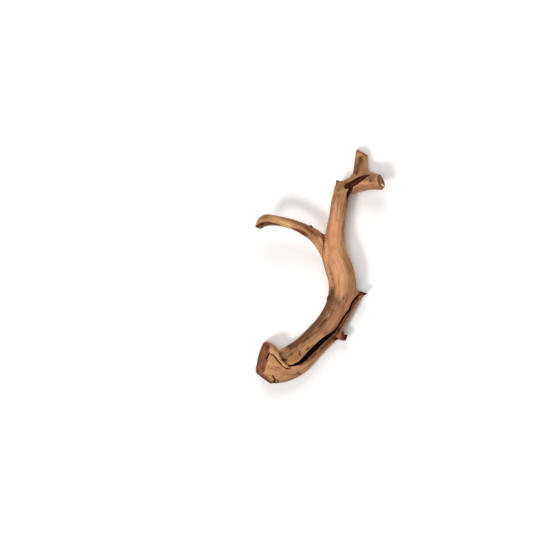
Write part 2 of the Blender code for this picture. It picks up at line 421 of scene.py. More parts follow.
@dataclass
class Groove:
    """A split or a hollow that follows a route in plan.

    Each station of the route is its plan position, its half width and its depth below the skin.
    A blade's taper is its width at shares of its depth, as shares of the stated width.
    """

    DENSITY = 4
    TAPER = ((-0.3, 0.0, 0.55, 1.0), (1.25, 1.0, 0.8, 0.35))

    stations: tuple
    form: Form
    side: Side = Side.UPPER
    soften: float = 0.8
    wander: float = 0.0
    shade: float = 1.0
    margin: float = 4.0
    lump: tuple = (6.0, 6.0, 9.0)
    path: SmoothPath = field(init=False)

    def lay(self, wood: "Driftwood") -> None:
        """Finds the height of the skin along the route, and evens it out a little."""
        rows = np.asarray(self.stations, float)
        plan = SmoothPath(rows, 2)
        dense = plan.at(np.linspace(0, plan.last, self.DENSITY * plan.last + 1))
        heights = wood.drape(dense[:, :2], self.side)
        kernel = np.array([0.25, 0.5, 0.25])
        padded = np.concatenate([heights[:1], heights, heights[-1:]])
        heights = np.convolve(padded, kernel, mode="valid")
        self.path = SmoothPath(np.column_stack([dense, heights]), 2, fineness=3)

    def carve(self, points: np.ndarray, clearance: np.ndarray) -> np.ndarray:
        """Takes the groove out of the wood.

        A blade is as wide as stated near the skin, a third of that at its floor, and wider
        above. A scoop is an ellipse across, whose middle is on the skin.

        Args:
            points: Rows of three numbers, in millimetres.
            clearance: Their distances outside the wood so far.

        Returns:
            The new distances.
        """
        rows = np.asarray(self.stations, float)
        margin = rows[:, 2].max() + self.margin
        low, high = rows[:, :2].min(0) - margin, rows[:, :2].max(0) + margin
        near = np.all((points[:, :2] > low) & (points[:, :2] < high), axis=1)
        if not near.any():
            return clearance
        local = points[near]
        _, station, out = self.path.beside(local)
        half, depth, height = station[:, 2], station[:, 3], station[:, 4]
        if self.wander:
            out = out + self.wander * noise(local / np.array(self.lump), Seed.GROOVE)
        sink = (height - local[:, 2]) * self.side.value
        if self.form is Form.BLADE:
            taper = np.interp(sink / depth, *self.TAPER)
            tool = np.maximum(out - half * taper, sink - depth)
        else:
            tool = (np.hypot(out / half, sink / depth) - 1.0) * np.minimum(half, depth)
        return replaced(clearance, near, blend_max(clearance[near], -tool, self.soften))

    def share(self, points: np.ndarray) -> np.ndarray:
        """How much of the groove's darkness each point of the skin has: painted shade down in the
        groove, and in the open hollows partly their own dark wood.

        Args:
            points: Rows of three numbers, in millimetres.

        Returns:
            The groove's shade inside its half width and below a quarter of its depth, fading
            out beside it, above it and under its floor.
        """
        _, station, out = self.path.beside(points)
        sink = (station[:, 4] - points[:, 2]) * self.side.value / station[:, 3]
        inside = fade(1.5, 0.9, out / station[:, 2])
        return self.shade * inside * fade(0.05, 0.5, sink) * fade(2.0, 1.4, sink)


@dataclass(frozen=True)
class EndCut:
    """A flat end: a point on it, the way that it faces, and how far round it takes wood away."""

    place: tuple
    facing: tuple
    kind: Cut
    reach: float = 55.0
    soften: float = 0.7
    splinter: float = 0.0
    splinter_size: float = 1.7

    def outward(self) -> np.ndarray:
        """The way that the cut faces, as a direction of length one."""
        return np.array(self.facing) / np.linalg.norm(self.facing)

    def height(self, points: np.ndarray) -> np.ndarray:
        """How far each point is beyond the cut."""
        return (points - np.array(self.place)) @ self.outward()

    def near(self, points: np.ndarray) -> np.ndarray:
        """Which points are within the cut's reach."""
        return np.linalg.norm(points - np.array(self.place), axis=1) < self.reach

    def carve(self, points: np.ndarray, clearance: np.ndarray) -> np.ndarray:
        """Takes away what lies beyond the cut. A break also leaves splinters, lumps of noise on
        its face.

        Args:
            points: Rows of three numbers, in millimetres.
            clearance: Their distances outside the wood so far.

        Returns:
            The new distances.
        """
        near = self.near(points)
        if not near.any():
            return clearance
        local = points[near]
        beyond = self.height(local)
        if self.splinter:
            beyond = beyond + self.splinter * noise(local / self.splinter_size, Seed.SPLINTERS)
        return replaced(clearance, near, blend_max(clearance[near], beyond, self.soften))

    def share(self, points: np.ndarray, normals: np.ndarray) -> np.ndarray:
        """How much each point of the skin belongs to the cut's face.

        Args:
            points: Rows of three numbers, in millimetres.
            normals: The skin's outward directions there.

        Returns:
            1 on the face, fading out where the skin leaves the plane or turns away from it.
        """
        depth = 0.4 + 1.5 * self.splinter
        level = fade(depth + 0.7, depth, np.abs(self.height(points)))
        return self.near(points) * level * fade(0.55, 0.85, normals @ self.outward())


@dataclass
class Lip:
    """The rolled rim of live wood that grew over the foot of the main stem.

    Each station is its plan position, its half width and how far it stands up.
    """

    stations: tuple
    middle: tuple = (-52.0, -115.0, 38.0)
    reach: float = 32.0
    fillet: float = 3.0
    path: SmoothPath = field(init=False)

    def lay(self, wood: "Driftwood") -> None:
        """Finds the height of the skin along the lip."""
        rows = np.asarray(self.stations, float)
        heights = wood.drape(rows[:, :2], Side.UPPER)
        self.path = SmoothPath(np.column_stack([rows, heights]), 2)

    def swell(self, points: np.ndarray, clearance: np.ndarray) -> np.ndarray:
        """Adds the lip: an ellipse across, sunk to its middle in the skin.

        Args:
            points: Rows of three numbers, in millimetres.
            clearance: Their distances outside the wood so far.

        Returns:
            The new distances.
        """
        near = np.all(np.abs(points - np.array(self.middle)) < self.reach, axis=1)
        if not near.any():
            return clearance
        local = points[near]
        _, station, out = self.path.beside(local)
        half, stand, height = station[:, 2], station[:, 3], station[:, 4]
        bead = (np.hypot(out / half, (local[:, 2] - height) / stand) - 1.0) * np.minimum(half, stand)
        return replaced(clearance, near, blend_min(clearance[near], bead, self.fillet))


@dataclass(frozen=True)
class Knot:
    """A healed twig: a raised ring round a sunken middle, on the skin nearest to a place."""

    place: tuple
    ring: float
    stand: float
    pit: float
    shade: float

    RING_SPREAD = 0.5
    PIT_SPREAD = 0.6
    SHADE_SPREAD = 0.8

    def away(self, corners: np.ndarray) -> np.ndarray:
        """How far each corner is from the corner nearest to the knot's place."""
        middle = corners[np.argmin(np.linalg.norm(corners - np.array(self.place), axis=1))]
        return np.linalg.norm(corners - middle, axis=1)

    def relief(self, corners: np.ndarray) -> np.ndarray:
        """How far the skin rises round the knot.

        Args:
            corners: The skin's corners, in millimetres.

        Returns:
            A ring of the stated height, as a bell curve about the ring's radius, less a pit, as
            a bell curve about the middle.
        """
        away = self.away(corners)
        ring = self.stand * np.exp(-((away - self.ring) / (self.RING_SPREAD * self.ring)) ** 2)
        return ring - self.pit * np.exp(-(away / (self.PIT_SPREAD * self.ring)) ** 2)

    def share(self, corners: np.ndarray) -> np.ndarray:
        """How dark the knot makes each corner: its shade, over a bell curve as wide as the ring."""
        return self.shade * np.exp(-(self.away(corners) / (self.SHADE_SPREAD * self.ring)) ** 2)


def knot_list(*rows: tuple) -> list[Knot]:
    """Knots. Each row is a knot's place, its ring's radius and height, its pit and its shade."""
    return [Knot(row[:3], *row[3:]) for row in rows]


@dataclass(frozen=True)
class Ripples:
    """A patch of small folds in the skin, where the wood crowded up as it grew."""

    place: tuple
    reach: float
    angle: float
    pitch: float
    stand: float

    def relief(self, corners: np.ndarray) -> np.ndarray:
        """How far the skin rises in the folds.

        Args:
            corners: The skin's corners, in millimetres.

        Returns:
            A cosine across the folds, bent by noise, under a bell curve about the place.
        """
        out = corners - np.array(self.place)
        turn = math.radians(self.angle)
        across = out[:, 0] * math.cos(turn) + out[:, 1] * math.sin(turn)
        across = across + 0.5 * self.pitch * noise(corners / (1.6 * self.pitch), Seed.FOLDS)
        fall = np.exp(-(np.linalg.norm(out, axis=1) / self.reach) ** 2)
        return self.stand * fall * np.cos(across * 2.0 * math.pi / self.pitch)


@dataclass(frozen=True)
class Relief:
    """Weathering that lies along the grain: its lumps' size across and along, and its height."""

    across: float
    along: float
    stand: float
    seed: int


@dataclass(frozen=True)
class Patch:
    """A soft-edged mark on one side: an ellipse in plan, with its long axis turned by an angle."""

    tone: Tone
    plan: tuple
    long_reach: float
    short_reach: float
    angle: float
    strength: float
    side: Side = Side.UPPER

    def share(self, points: np.ndarray, upward: np.ndarray) -> np.ndarray:
        """How much of the mark each point of the skin has.

        Args:
            points: Rows of three numbers, in millimetres.
            upward: How far the skin faces up there, from -1 to 1.

        Returns:
            Strength times a bell curve of the distance from the middle, in ellipse radii.
        """
        out = points[:, :2] - np.array(self.plan)
        turn = math.radians(self.angle)
        along = out @ np.array([math.cos(turn), math.sin(turn)])
        across = out @ np.array([-math.sin(turn), math.cos(turn)])
        fall = np.exp(-(along / self.long_reach) ** 2 - (across / self.short_reach) ** 2)
        return self.strength * fall * self.side.facing(upward)


@dataclass(frozen=True)
class Spot:
    """A soft-edged mark all round a place: an ellipsoid that lies square to the axes."""

    tone: Tone
    place: tuple
    reach: tuple
    strength: float

    def share(self, points: np.ndarray, upward: np.ndarray) -> np.ndarray:
        """Strength times a bell curve of the distance in ellipsoid radii, whatever way is up."""
        out = (points - np.array(self.place)) / np.array(self.reach)
        return self.strength * np.exp(-(out ** 2).sum(1))


def patches(tone: Tone, *rows: tuple, side: Side = Side.UPPER) -> list[Patch]:
    """Patches of one tone.

    Args:
        tone: What they do to the colour.
        rows: Each one's plan position, long reach, short reach, angle and strength.
        side: The side that they are on.

    Returns:
        The patches.
    """
    return [Patch(tone, row[:2], *row[2:], side=side) for row in rows]


def spots(tone: Tone, *rows: tuple) -> list[Spot]:
    """Spots of one tone. Each row is a spot's place, its reach along each axis and its strength."""
    return [Spot(tone, row[:3], row[3:6], row[6]) for row in rows]


@dataclass
class Streak:
    """A mark along a route in plan. Each station is its plan position and its half width."""

    tone: Tone
    stations: tuple
    strength: float
    edge: float
    taper: float = 0.0
    side: Side = Side.UPPER
    path: SmoothPath = field(init=False)

    def __post_init__(self) -> None:
        """Lays the path."""
        self.path = SmoothPath(self.stations, 2)

    def share(self, points: np.ndarray, upward: np.ndarray) -> np.ndarray:
        """How much of the mark each point of the skin has.

        Args:
            points: Rows of three numbers, in millimetres.
            upward: How far the skin faces up there, from -1 to 1.

        Returns:
            Strength inside the half width, fading out from the stated share of it to 1.4 times,
            and over the taper's length at both ends.
        """
        travel, station, out = self.path.beside(points)
        inside = fade(1.4, self.edge, out / station[:, 2])
        share = self.strength * inside * self.side.facing(upward)
        if self.taper:
            along = self.path.length_at(travel)
            share *= fade(0.0, self.taper, np.minimum(along, self.path.sample_length[-1] - along))
        return share


def streaks(tone: Tone, *rows: tuple, side: Side = Side.UPPER) -> list[Streak]:
    """Streaks of one tone. Each row is a route, its strength, its edge and perhaps its taper."""
    return [Streak(tone, *row, side=side) for row in rows]


@dataclass(frozen=True)
class Skin:
    """A closed surface: corner places in millimetres, and four corners for each face."""

    corners: np.ndarray
    faces: np.ndarray

    def normals(self) -> np.ndarray:
        """The outward direction at each corner: the sum of its faces' crossed diagonals."""
        a, b, c, d = (self.corners[self.faces[:, k]] for k in range(4))
        crossed = np.cross(c - a, d - b)
        total = np.stack([
            np.bincount(self.faces.ravel(), np.repeat(crossed[:, axis], 4), len(self.corners))
            for axis in range(3)
        ], axis=1)
        return total / np.maximum(np.linalg.norm(total, axis=1, keepdims=True), 1e-12)

    def averaged(self, values: np.ndarray) -> np.ndarray:
        """Each corner's row of values replaced by the mean of its neighbours' rows."""
        this, following = self.faces.ravel(), np.roll(self.faces, -1, axis=1).ravel()
        start, end = np.concatenate([[this, following], [following, this]], axis=1)
        count = np.bincount(start, minlength=len(self.corners))
        return np.stack([np.bincount(start, values[end, axis], len(self.corners)) / count
                         for axis in range(values.shape[1])], axis=1)


@dataclass(frozen=True)
class Grain:
    """Where the skin's corners lie along the grain, in millimetres.

    A place is how far across the limb, how far up from its middle, and how far along it.
    """

    stem: np.ndarray
    limb: np.ndarray
    limb_share: np.ndarray
    relief: np.ndarray


def pinched_cells(faces: np.ndarray, cells: np.ndarray) -> np.ndarray:
    """The lattice cells where two sheets of a surface touch along an edge.

    Args:
        faces: Four corner numbers for each face.
        cells: The lattice cell of each corner.

    Returns:
        The cells of the corners of every edge that doesn't lie between exactly two faces.
    """
    start, end = faces.ravel(), np.roll(faces, -1, axis=1).ravel()
    keys = np.minimum(start, end) * len(cells) + np.maximum(start, end)
    edges, uses = np.unique(keys, return_counts=True)
    bad = edges[uses != 2]
    return cells[np.unique(np.concatenate([bad // len(cells), bad % len(cells)]))]


def whole_skin(values: np.ndarray, origin: np.ndarray, step: float) -> Skin:
    """The surface of a lattice, with each place where it pinches filled in.

    Args:
        values: Signed distances at the lattice points, negative inside. They are changed.
        origin: The place of the first lattice point.
        step: The lattice spacing.

    Returns:
        The surface, read again after each filling until nothing pinches, eight times at most.
    """
    for _ in range(8):
        skin, cells = skin_of_lattice(values, origin, step)
        pinched = pinched_cells(skin.faces, cells)
        if not len(pinched):
            break
        for corner in np.ndindex(2, 2, 2):
            at = tuple((pinched + corner).T)
            values[at] = np.minimum(values[at], -0.05 * step)
    return skin


def skin_of_lattice(values: np.ndarray, origin: np.ndarray, step: float) -> tuple[Skin, np.ndarray]:
    """The surface where values on a lattice pass through nought.

    Each cell that the surface crosses gets one corner, at the mean of the crossings on the
    cell's edges. Each lattice edge that crosses the surface gets one face, through the four
    cells round it.

    Args:
        values: Signed distances at the lattice points, negative inside.
        origin: The place of the first lattice point.
        step: The lattice spacing.

    Returns:
        The closed surface, with faces pointing to the positive side, and each corner's cell.
    """
    inside = values < 0
    count = np.zeros(tuple(n - 1 for n in values.shape), np.int8)
    for dx in (0, 1):
        for dy in (0, 1):
            for dz in (0, 1):
                count += inside[dx:dx + count.shape[0], dy:dy + count.shape[1],
                                dz:dz + count.shape[2]]
    crossed = (count > 0) & (count < 8)
    number = np.full(count.shape, -1, np.int64)
    number[crossed] = np.arange(crossed.sum())
    cells = np.argwhere(crossed)
    total = np.zeros((len(cells), 3))
    hits = np.zeros(len(cells))
    for axis in range(3):
        others = [a for a in range(3) if a != axis]
        for shift in ((0, 0), (1, 0), (0, 1), (1, 1)):
            start = np.zeros(3, int)
            start[others] = shift
            end = start.copy()
            end[axis] = 1
            first = values[tuple((cells + start).T)]
            second = values[tuple((cells + end).T)]
            passes = (first < 0) != (second < 0)
            share = first[passes] / (first[passes] - second[passes])
            total[passes] += start + share[:, None] * (end - start)
            hits[passes] += 1
    corners = origin + (cells + total / hits[:, None]) * step
    faces = []
    for axis in range(3):
        b, c = (axis + 1) % 3, (axis + 2) % 3
        ahead = np.moveaxis(inside, axis, 0)
        change = np.moveaxis(ahead[:-1] != ahead[1:], 0, axis)
        edges = np.argwhere(change)
        leaving = inside[tuple(edges.T)]
        ring = []
        for db, dc in ((1, 1), (0, 1), (0, 0), (1, 0)):
            cell = edges.copy()
            cell[:, b] -= db
            cell[:, c] -= dc
            ring.append(number[tuple(cell.T)])
        ring = np.stack(ring, axis=1)
        ring[~leaving] = ring[~leaving][:, ::-1]
        faces.append(ring)
    return Skin(corners, np.concatenate(faces)), cells


@dataclass
class Driftwood:
    """The whole piece of wood: its limbs, splits, hollows, cuts, knots and marks."""

    limbs: list = field(default_factory=list)
    grooves: list = field(default_factory=list)
    cuts: list = field(default_factory=list)
    knots: list = field(default_factory=list)
    ripples: list = field(default_factory=list)
    marks: list = field(default_factory=list)
    lip: Lip | None = None
    # Painted shade: how strongly the stain and blush tints darken the steep flanks
    flank_shade_shares: dict = field(default_factory=lambda: {Tone.STAIN_AND_SHADE: 0.46, Tone.BLUSH: 0.34})
    fineness: float = 0.86
    coarseness: int = 5
    margin: float = 3.0
    grain_reach: float = 2.0
    limb_gap: float = 500.0
    longest_shift: float = 0.6
    probe: float = 0.15
    reliefs: tuple = (
        Relief(13.0, 75.0, 0.42, 3),
        Relief(6.0, 48.0, 0.26, 5),
        Relief(3.0, 30.0, 0.17, 7),
    )

    # How often the skin's height is bettered, by what share of the distance, and its limits
    DRAPE_STEPS = 60
    DRAPE_SHARE = 0.8
    DRAPE_LIMITS = (-2.0, 3.0)
    # The lumps of noise on sawn ends: height, size and seed
    SAW_LUMPS = ((0.45, 4.5, Seed.SAW_MARKS), (0.22, 1.9, Seed.SAW_RASP))

    def joined(self, points: np.ndarray) -> np.ndarray:
        """The distance outside the joined limbs, with the crotches rounded."""
        total = self.limbs[0].clearance(points)
        for shape in self.limbs[1:]:
            total = blend_min(total, shape.clearance(points), shape.fillet)
        return total

    def drape(self, plan: np.ndarray, side: Side) -> np.ndarray:
        """The height of the joined limbs' skin over plan positions.

        Args:
            plan: Rows of two numbers.
            side: Looked at from above or from below.

        Returns:
            The heights, found by stepping towards the wood by a share of the distance left.
        """
        height = np.full(len(plan), side.start())
        for _ in range(self.DRAPE_STEPS):
            out = self.joined(np.column_stack([plan, height]))
            height -= side.value * np.clip(out * self.DRAPE_SHARE, *self.DRAPE_LIMITS)
        return height

    def clearance(self, points: np.ndarray) -> np.ndarray:
        """The distance of each point outside the finished wood, negative inside.

        Args:
            points: Rows of three numbers, in millimetres.

        Returns:
            The joined limbs' distance, with the lip added, the grooves and the ends taken away,
            and the wood cut off level at the floor.
        """
        total = self.joined(points)
        total = self.lip.swell(points, total)
        for groove in self.grooves:
            total = groove.carve(points, total)
        for cut in self.cuts:
            total = cut.carve(points, total)
        return blend_max(total, -points[:, 2], 0.3)

    def lattice(self) -> tuple[np.ndarray, np.ndarray]:
        """Distances on a fine lattice, worked out only near the skin.

        Returns:
            The values and the place of the first lattice point.
        """
        low = np.array(cad_box[0]) / MM - self.margin
        high = np.array(cad_box[1]) / MM + self.margin
        wide = self.fineness * self.coarseness
        counts = np.ceil((high - low) / wide).astype(int) + 1
        axes = [low[a] + wide * np.arange(counts[a]) for a in range(3)]
        coarse = np.stack(np.meshgrid(*axes, indexing="ij"), axis=-1).reshape(-1, 3)
        rough = self.clearance(coarse).reshape(counts)
        fine = rough
        for axis in range(3):
            fine = np.repeat(fine, self.coarseness, axis=axis)
        axes = [low[a] + self.fineness * (np.arange(fine.shape[a]) - self.coarseness // 2)
                for a in range(3)]
        near = np.argwhere(np.abs(fine) < wide * 0.9 + 1.2)
        places = np.stack([axes[a][near[:, a]] for a in range(3)], axis=1)
        log.info("lattice of %s points, %d of them near the skin", fine.shape, len(near))
        fine[tuple(near.T)] = self.clearance(places)
        return fine, np.array([axis[0] for axis in axes])

    def settle(self, skin: Skin) -> Skin:
        """Evens the corners out along the skin and puts them back on it.

        Each corner moves towards its neighbours' mean, then along its normal by its distance
        over that distance's slope.

        Args:
            skin: The surface as read from the lattice.

        Returns:
            The same faces with their corners on the skin.
        """
        corners = skin.corners
        for _ in range(2):
            evened = Skin(corners * 0.5 + skin.averaged(corners) * 0.5, skin.faces)
            normals = evened.normals()
            here = self.clearance(evened.corners)
            there = self.clearance(evened.corners + normals * self.probe)
            slope = np.clip((there - here) / self.probe, 0.5, 1.5)
            shift = np.clip(here / slope, -self.longest_shift, self.longest_shift)
            corners = evened.corners - normals * shift[:, None]
        return Skin(corners, skin.faces)

    def skin(self) -> Skin:
        """The finished surface, before its fine relief."""
        values, origin = self.lattice()
        skin = whole_skin(values, origin, self.fineness)
        log.info("skin of %d corners and %d faces", len(skin.corners), len(skin.faces))
        return self.settle(skin)

    def grain(self, points: np.ndarray) -> Grain:
        """Where points of the skin lie along the grain of their limbs.

        Args:
            points: Rows of three numbers, in millimetres.

        Returns:
            Places in the main stem's straightened frame and in that of the nearest other limb,
            and the other limb's share, where a limb's weight falls off with its distance as
            exp(-distance / reach). The relief is each limb's noise, weighted alike.
        """
        stem, limb = np.zeros((2, len(points), 3))
        best, total, relief = np.zeros((3, len(points)))
        for order, shape in enumerate(self.limbs):
            near = shape.near(points)
            local = points[near]
            found = shape.bearing(local)
            weight = np.exp(-np.maximum(shape.clearance(local), -2.0) / self.grain_reach)
            along = found.along + self.limb_gap * order
            place = np.column_stack([found.across, found.upward, along])
            rise = np.zeros(len(local))
            for layer in self.reliefs:
                cells = place / np.array([layer.across, layer.across, layer.along])
                rise += layer.stand * noise(cells, layer.seed)
            relief[near] += weight * rise
            total[near] += weight
            if order == 0:
                stem[near] = place
                stem_weight = np.zeros(len(points))
                stem_weight[near] = weight
                continue
            stronger = weight > best[near]
            rows = np.flatnonzero(near)[stronger]
            limb[rows] = place[stronger]
            best[rows] = weight[stronger]
        total = np.maximum(total, 1e-9)
        return Grain(stem, limb, 1.0 - stem_weight / total, relief / total)

    def sawn(self, skin: Skin, kind: Cut) -> np.ndarray:
        """The share of each corner that lies on an end face of one kind."""
        normals = skin.normals()
        shares = [cut.share(skin.corners, normals) for cut in self.cuts if cut.kind is kind]
        return np.clip(np.sum(shares, axis=0), 0.0, 1.0)

    def marked(self, skin: Skin, tone: Tone) -> np.ndarray:
        """The share of one tone at each corner.

        Args:
            skin: The finished skin.
            tone: The tone.

        Returns:
            The strongest of the tone's marks on the side that the corner faces. Hollows have the
            grooves' darkness too, which is partly painted shade, and stains the knots'. The stain and
            blush tints also paint shade along the flanks, where the skin is steep, in uneven lengths,
            and less on the right.
        """
        rightward, _, upward = skin.normals().T
        # Painted shade on the steep flanks, in uneven lengths, half as strong where the skin faces right
        uneven = fade(-0.75, 0.35, noise(skin.corners / 21.0, Seed.FLANKS))
        steep = fade(0.55, 0.05, np.abs(upward)) * uneven
        steep = steep * (1.0 - 0.5 * fade(0.0, 0.8, rightward))
        share = self.flank_shade_shares.get(tone, 0.0) * steep
        for mark in self.marks:
            if mark.tone is tone:
                share = np.maximum(share, mark.share(skin.corners, upward))
        for feature in {Tone.HOLLOW: self.grooves, Tone.STAIN_AND_SHADE: self.knots}.get(tone, ()):
            share = np.maximum(share, feature.share(skin.corners))
        return share

    def bulge(self, skin: Skin) -> np.ndarray:
        """How far each corner stands out of its surroundings, in millimetres.

        The skin is evened out over a couple of millimetres, and the corner's place is measured
        from there along the normal: over nought on a crest, and under it in a crease.
        """
        smooth = skin.corners
        for _ in range(8):
            smooth = skin.averaged(smooth)
        return ((skin.corners - smooth) * skin.normals()).sum(1)

    def weathered(self, skin: Skin, grain: Grain) -> Skin:
        """Raises and sinks the skin along its normals, as growth and weather did.

        Args:
            skin: The plain skin.
            grain: Where its corners lie along the grain.

        Returns:
            The skin moved by the grain's relief where it isn't cut, by rough noise on the end
            faces, and by its knots and folds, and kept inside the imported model's box.
        """
        corners = skin.corners
        sawn = self.sawn(skin, Cut.SAWN)
        rough = sum(stand * noise(corners / size, seed) for stand, size, seed in self.SAW_LUMPS)
        rise = grain.relief * (1.0 - 0.85 * sawn) + rough * sawn
        for feature in self.knots + self.ripples:
            rise += feature.relief(corners)
        moved = corners + skin.normals() * rise[:, None]
        low, high = np.array(cad_box) / MM
        return Skin(np.clip(moved, low, high), skin.faces)


@dataclass(frozen=True)
class Stems:
    """The heel and the two stems that rise from it, side by side."""

    main_stem: tuple = (
        (-56, -124.5, 22, 12.3, 12), (-41, -116, 24, 12.7, 12.5), (-23.2, -104.3, 26, 12.2, 13),
        (-6.1, -88.9, 27, 12.8, 13.5), (10, -71.3, 27.5, 13.5, 14.5), (22.7, -50.6, 27.5, 14.9, 15.5),
        (29.6, -30.5, 27.5, 17.7, 16), (28.9, -13.5, 27.5, 17.9, 16), (24.1, 3, 28, 18, 15.5),
        (20, 18.5, 28.5, 15.6, 14), (19.1, 34.5, 28.5, 13, 12.5), (19.8, 49.5, 28, 12, 11.5),
        (21.7, 62, 27.5, 11.3, 11.5), (23.2, 72.5, 27, 11.3, 11.5), (25, 83, 26.5, 11.9, 12),
        (27.1, 92.8, 26, 11.5, 12.5), (32.6, 101.1, 25.5, 11.3, 12.5), (40.9, 105.9, 25.5, 11.2, 12),
        (48.6, 109.2, 26.5, 10.8, 11.5), (58, 110.2, 29, 10.6, 11), (68.5, 110.6, 32, 10.3, 10.5),
        (79, 109.6, 35, 9.9, 10), (90, 108, 38, 9.6, 9.5),
    )
    second_stem: tuple = (
        (-92, -119, 20.6, 27.5, 22), (-76, -122.5, 20.6, 27, 22), (-65.5, -127.5, 20.4, 24.2, 21.5),
        (-52.5, -131, 19.5, 19.8, 19), (-39.6, -131.1, 18, 15.6, 16.5), (-24.2, -125.2, 16.5, 12.6, 15),
        (-10.7, -113.6, 15.5, 10.2, 14), (1.4, -101.9, 14.5, 10, 13.5), (13.1, -89.6, 13.5, 10.1, 13),
        (22.5, -77.2, 13, 9.4, 13.2), (30.9, -63.7, 13, 8.8, 13.2), (38, -51, 14.5, 8.3, 12),
        (45, -42.5, 17, 7.2, 9.5), (52.5, -36.7, 19, 5, 6), (58.8, -35.2, 20, 2, 2.5),
    )
    broken_twig: tuple = (
        (20, -86.3, 13, 6, 6), (26, -90.2, 15.5, 4.9, 4.9), (31, -91.9, 17, 4.2, 4.2),
        (38, -92.2, 18.5, 3.6, 3.7),
    )
    twig_spike: tuple = ((27, -90, 16, 3.2, 3.2), (29.3, -87, 17.5, 2, 2.2), (30.3, -85.2, 18.5, 0.9, 1))
    knee: tuple = (
        (36, -48, 26, 9, 10), (41, -39.5, 25.5, 7.8, 8.8), (43.7, -34.8, 25, 6, 7),
        (46.2, -34.2, 24, 5, 5.6), (49.3, -35, 22.5, 3.6, 4.2),
    )
    lip: tuple = (
        (-66.2, -104.2, 2.4, 1.2), (-62.2, -109.9, 2.9, 2), (-57, -113.8, 3, 2.4),
        (-53.4, -118.6, 2.7, 2.5), (-49.8, -123.4, 2.3, 2.3), (-45.6, -127.8, 1.9, 2),
        (-40.5, -130.8, 1.4, 1.2),
    )
    lip_crease: tuple = (
        (-55.5, -108, 0.9, 0.7), (-51.5, -113.8, 1.3, 1.5), (-47.9, -119.6, 1.4, 1.8),
        (-44.2, -124.5, 1.3, 2), (-39.5, -128.4, 1.1, 1.8),
    )
    heel_crack: tuple = (
        (-65.7, -110.6, 0.6, 3), (-66.9, -114.2, 1.1, 8), (-68.8, -117.6, 0.9, 11),
        (-70.6, -120.4, 0.5, 11),
    )
    cleft: tuple = (
        (-41, -128.8, 1, 4), (-31.5, -126.8, 2, 9), (-22.5, -121.6, 2.8, 13), (-14.5, -113.6, 3.3, 15),
        (-6, -105.3, 3.4, 16), (2, -97.7, 3.1, 16), (10, -91, 2.6, 15), (17.4, -85.5, 1.9, 13),
        (22.5, -79, 1.4, 12), (28.2, -70, 1.3, 12), (33.4, -62, 1.3, 11), (38.3, -55.4, 1.2, 10),
        (41.7, -47, 1.2, 9), (45.9, -41.2, 1.1, 7), (51.6, -36.4, 0.9, 4),
    )
    seam: tuple = (
        (-65.6, -112.8, 0.7, 0.9), (-61.2, -114.4, 0.9, 1.9), (-57, -119.2, 0.9, 2),
        (-52.9, -124.2, 0.9, 2), (-48.9, -128.8, 0.9, 1.8), (-44.4, -131.8, 0.8, 1.5),
        (-38.8, -132.6, 0.6, 0.7),
    )
    trunk_crack: tuple = (
        (9.5, -64.8, 0.5, 0.6), (6.6, -68.4, 0.9, 1.8), (4.2, -71.6, 1, 2.6), (0.4, -76.2, 0.8, 1.6),
        (-4.4, -81, 0.6, 0.7),
    )
    trunk_dip: tuple = ((11, -62, 2, 0.6), (2.5, -73, 3.6, 1.5), (-9, -84, 3.6, 1.3), (-22, -95, 2.5, 0.6))

    def limbs(self) -> list[LimbShape]:
        """The main stem, the second stem, the broken twig with its spike, and the knee."""
        return [
            LimbShape(self.main_stem, 0.0),
            LimbShape(self.second_stem, 3.0),
            LimbShape(self.broken_twig, 4.0),
            LimbShape(self.twig_spike, 1.5),
            LimbShape(self.knee, 4.0),
        ]

    def grooves(self) -> list[Groove]:
        """The trunk's dip and crack, the lip's crease and seam, the heel's crack, and the cleft."""
        return [
            Groove(self.trunk_dip, Form.SCOOP, soften=2.0, shade=0.0),
            Groove(self.trunk_crack, Form.BLADE, soften=0.7, wander=0.3, shade=0.66),
            Groove(self.lip_crease, Form.BLADE, soften=2.0, wander=0.3, shade=0.12),
            Groove(self.seam, Form.BLADE, soften=0.5, wander=0.2),
            Groove(self.heel_crack, Form.BLADE, soften=0.4, wander=0.4),
            Groove(self.cleft, Form.BLADE, soften=0.9, wander=0.35),
        ]

    def cuts(self) -> list[EndCut]:
        """The sawn heel, its bevelled corner, its worn shoulder and the broken twig's end."""
        return [
            EndCut((-73.5, -116, 21), (-0.93, 0.22, 0.30), Cut.SAWN),
            EndCut((-73.5, -143.3, 21), (-0.65, -0.73, 0.22), Cut.SAWN),
            EndCut((-67.0, -98.7, 30), (-0.06, 0.99, 0.10), Cut.WORN, reach=24.0, soften=1.4),
            EndCut((34.8, -90.8, 17.5), (0.90, -0.30, 0.30), Cut.BROKEN,
                   reach=12.0, soften=0.4, splinter=0.8),
        ]

    def knots(self) -> list[Knot]:
        """Healed twigs and small dents, above and below."""
        return knot_list(
            (-58, -149, 28, 3, 0.8, 2.2, 0.9), (12.7, -9.5, 41, 1.3, 0.1, 0.5, 0.8),
            (14, -18.6, 41, 1.2, 0.1, 0.5, 0.8), (9.8, -41, 30, 2.4, 0.9, 0.2, 0.8),
            (-29, -139.1, 24, 1.5, 0.2, 0.6, 0.8), (-43, -139.5, 32, 1.3, 0.2, 0.4, 0.7),
            (-26.5, -113, 36, 1.7, 0.2, 0.8, 0.9), (-14, -105.4, 36, 1.6, 0.2, 0.7, 0.8),
            (19.6, -94.2, 24, 2, 0.4, 2, 1), (33, -24, 12, 4.5, 1, 1.3, 0.7),
            (10, -70, 13, 3.6, 0.8, 1, 0.7), (-30, -126, 0, 4.2, 0.6, 1, 0.6),
        )

    def ripples(self) -> list[Ripples]:
        """The folds at the foot of the main stem, beside the lip."""
        return [
            Ripples((-36.0, -116.0, 36.0), 12.0, 12.0, 2.7, 0.46),
            Ripples((-48.0, -111.0, 33.0), 9.0, 35.0, 3.1, 0.24),
            Ripples((-58.0, -131.0, 40.0), 15.0, 62.0, 3.4, 0.13),
        ]

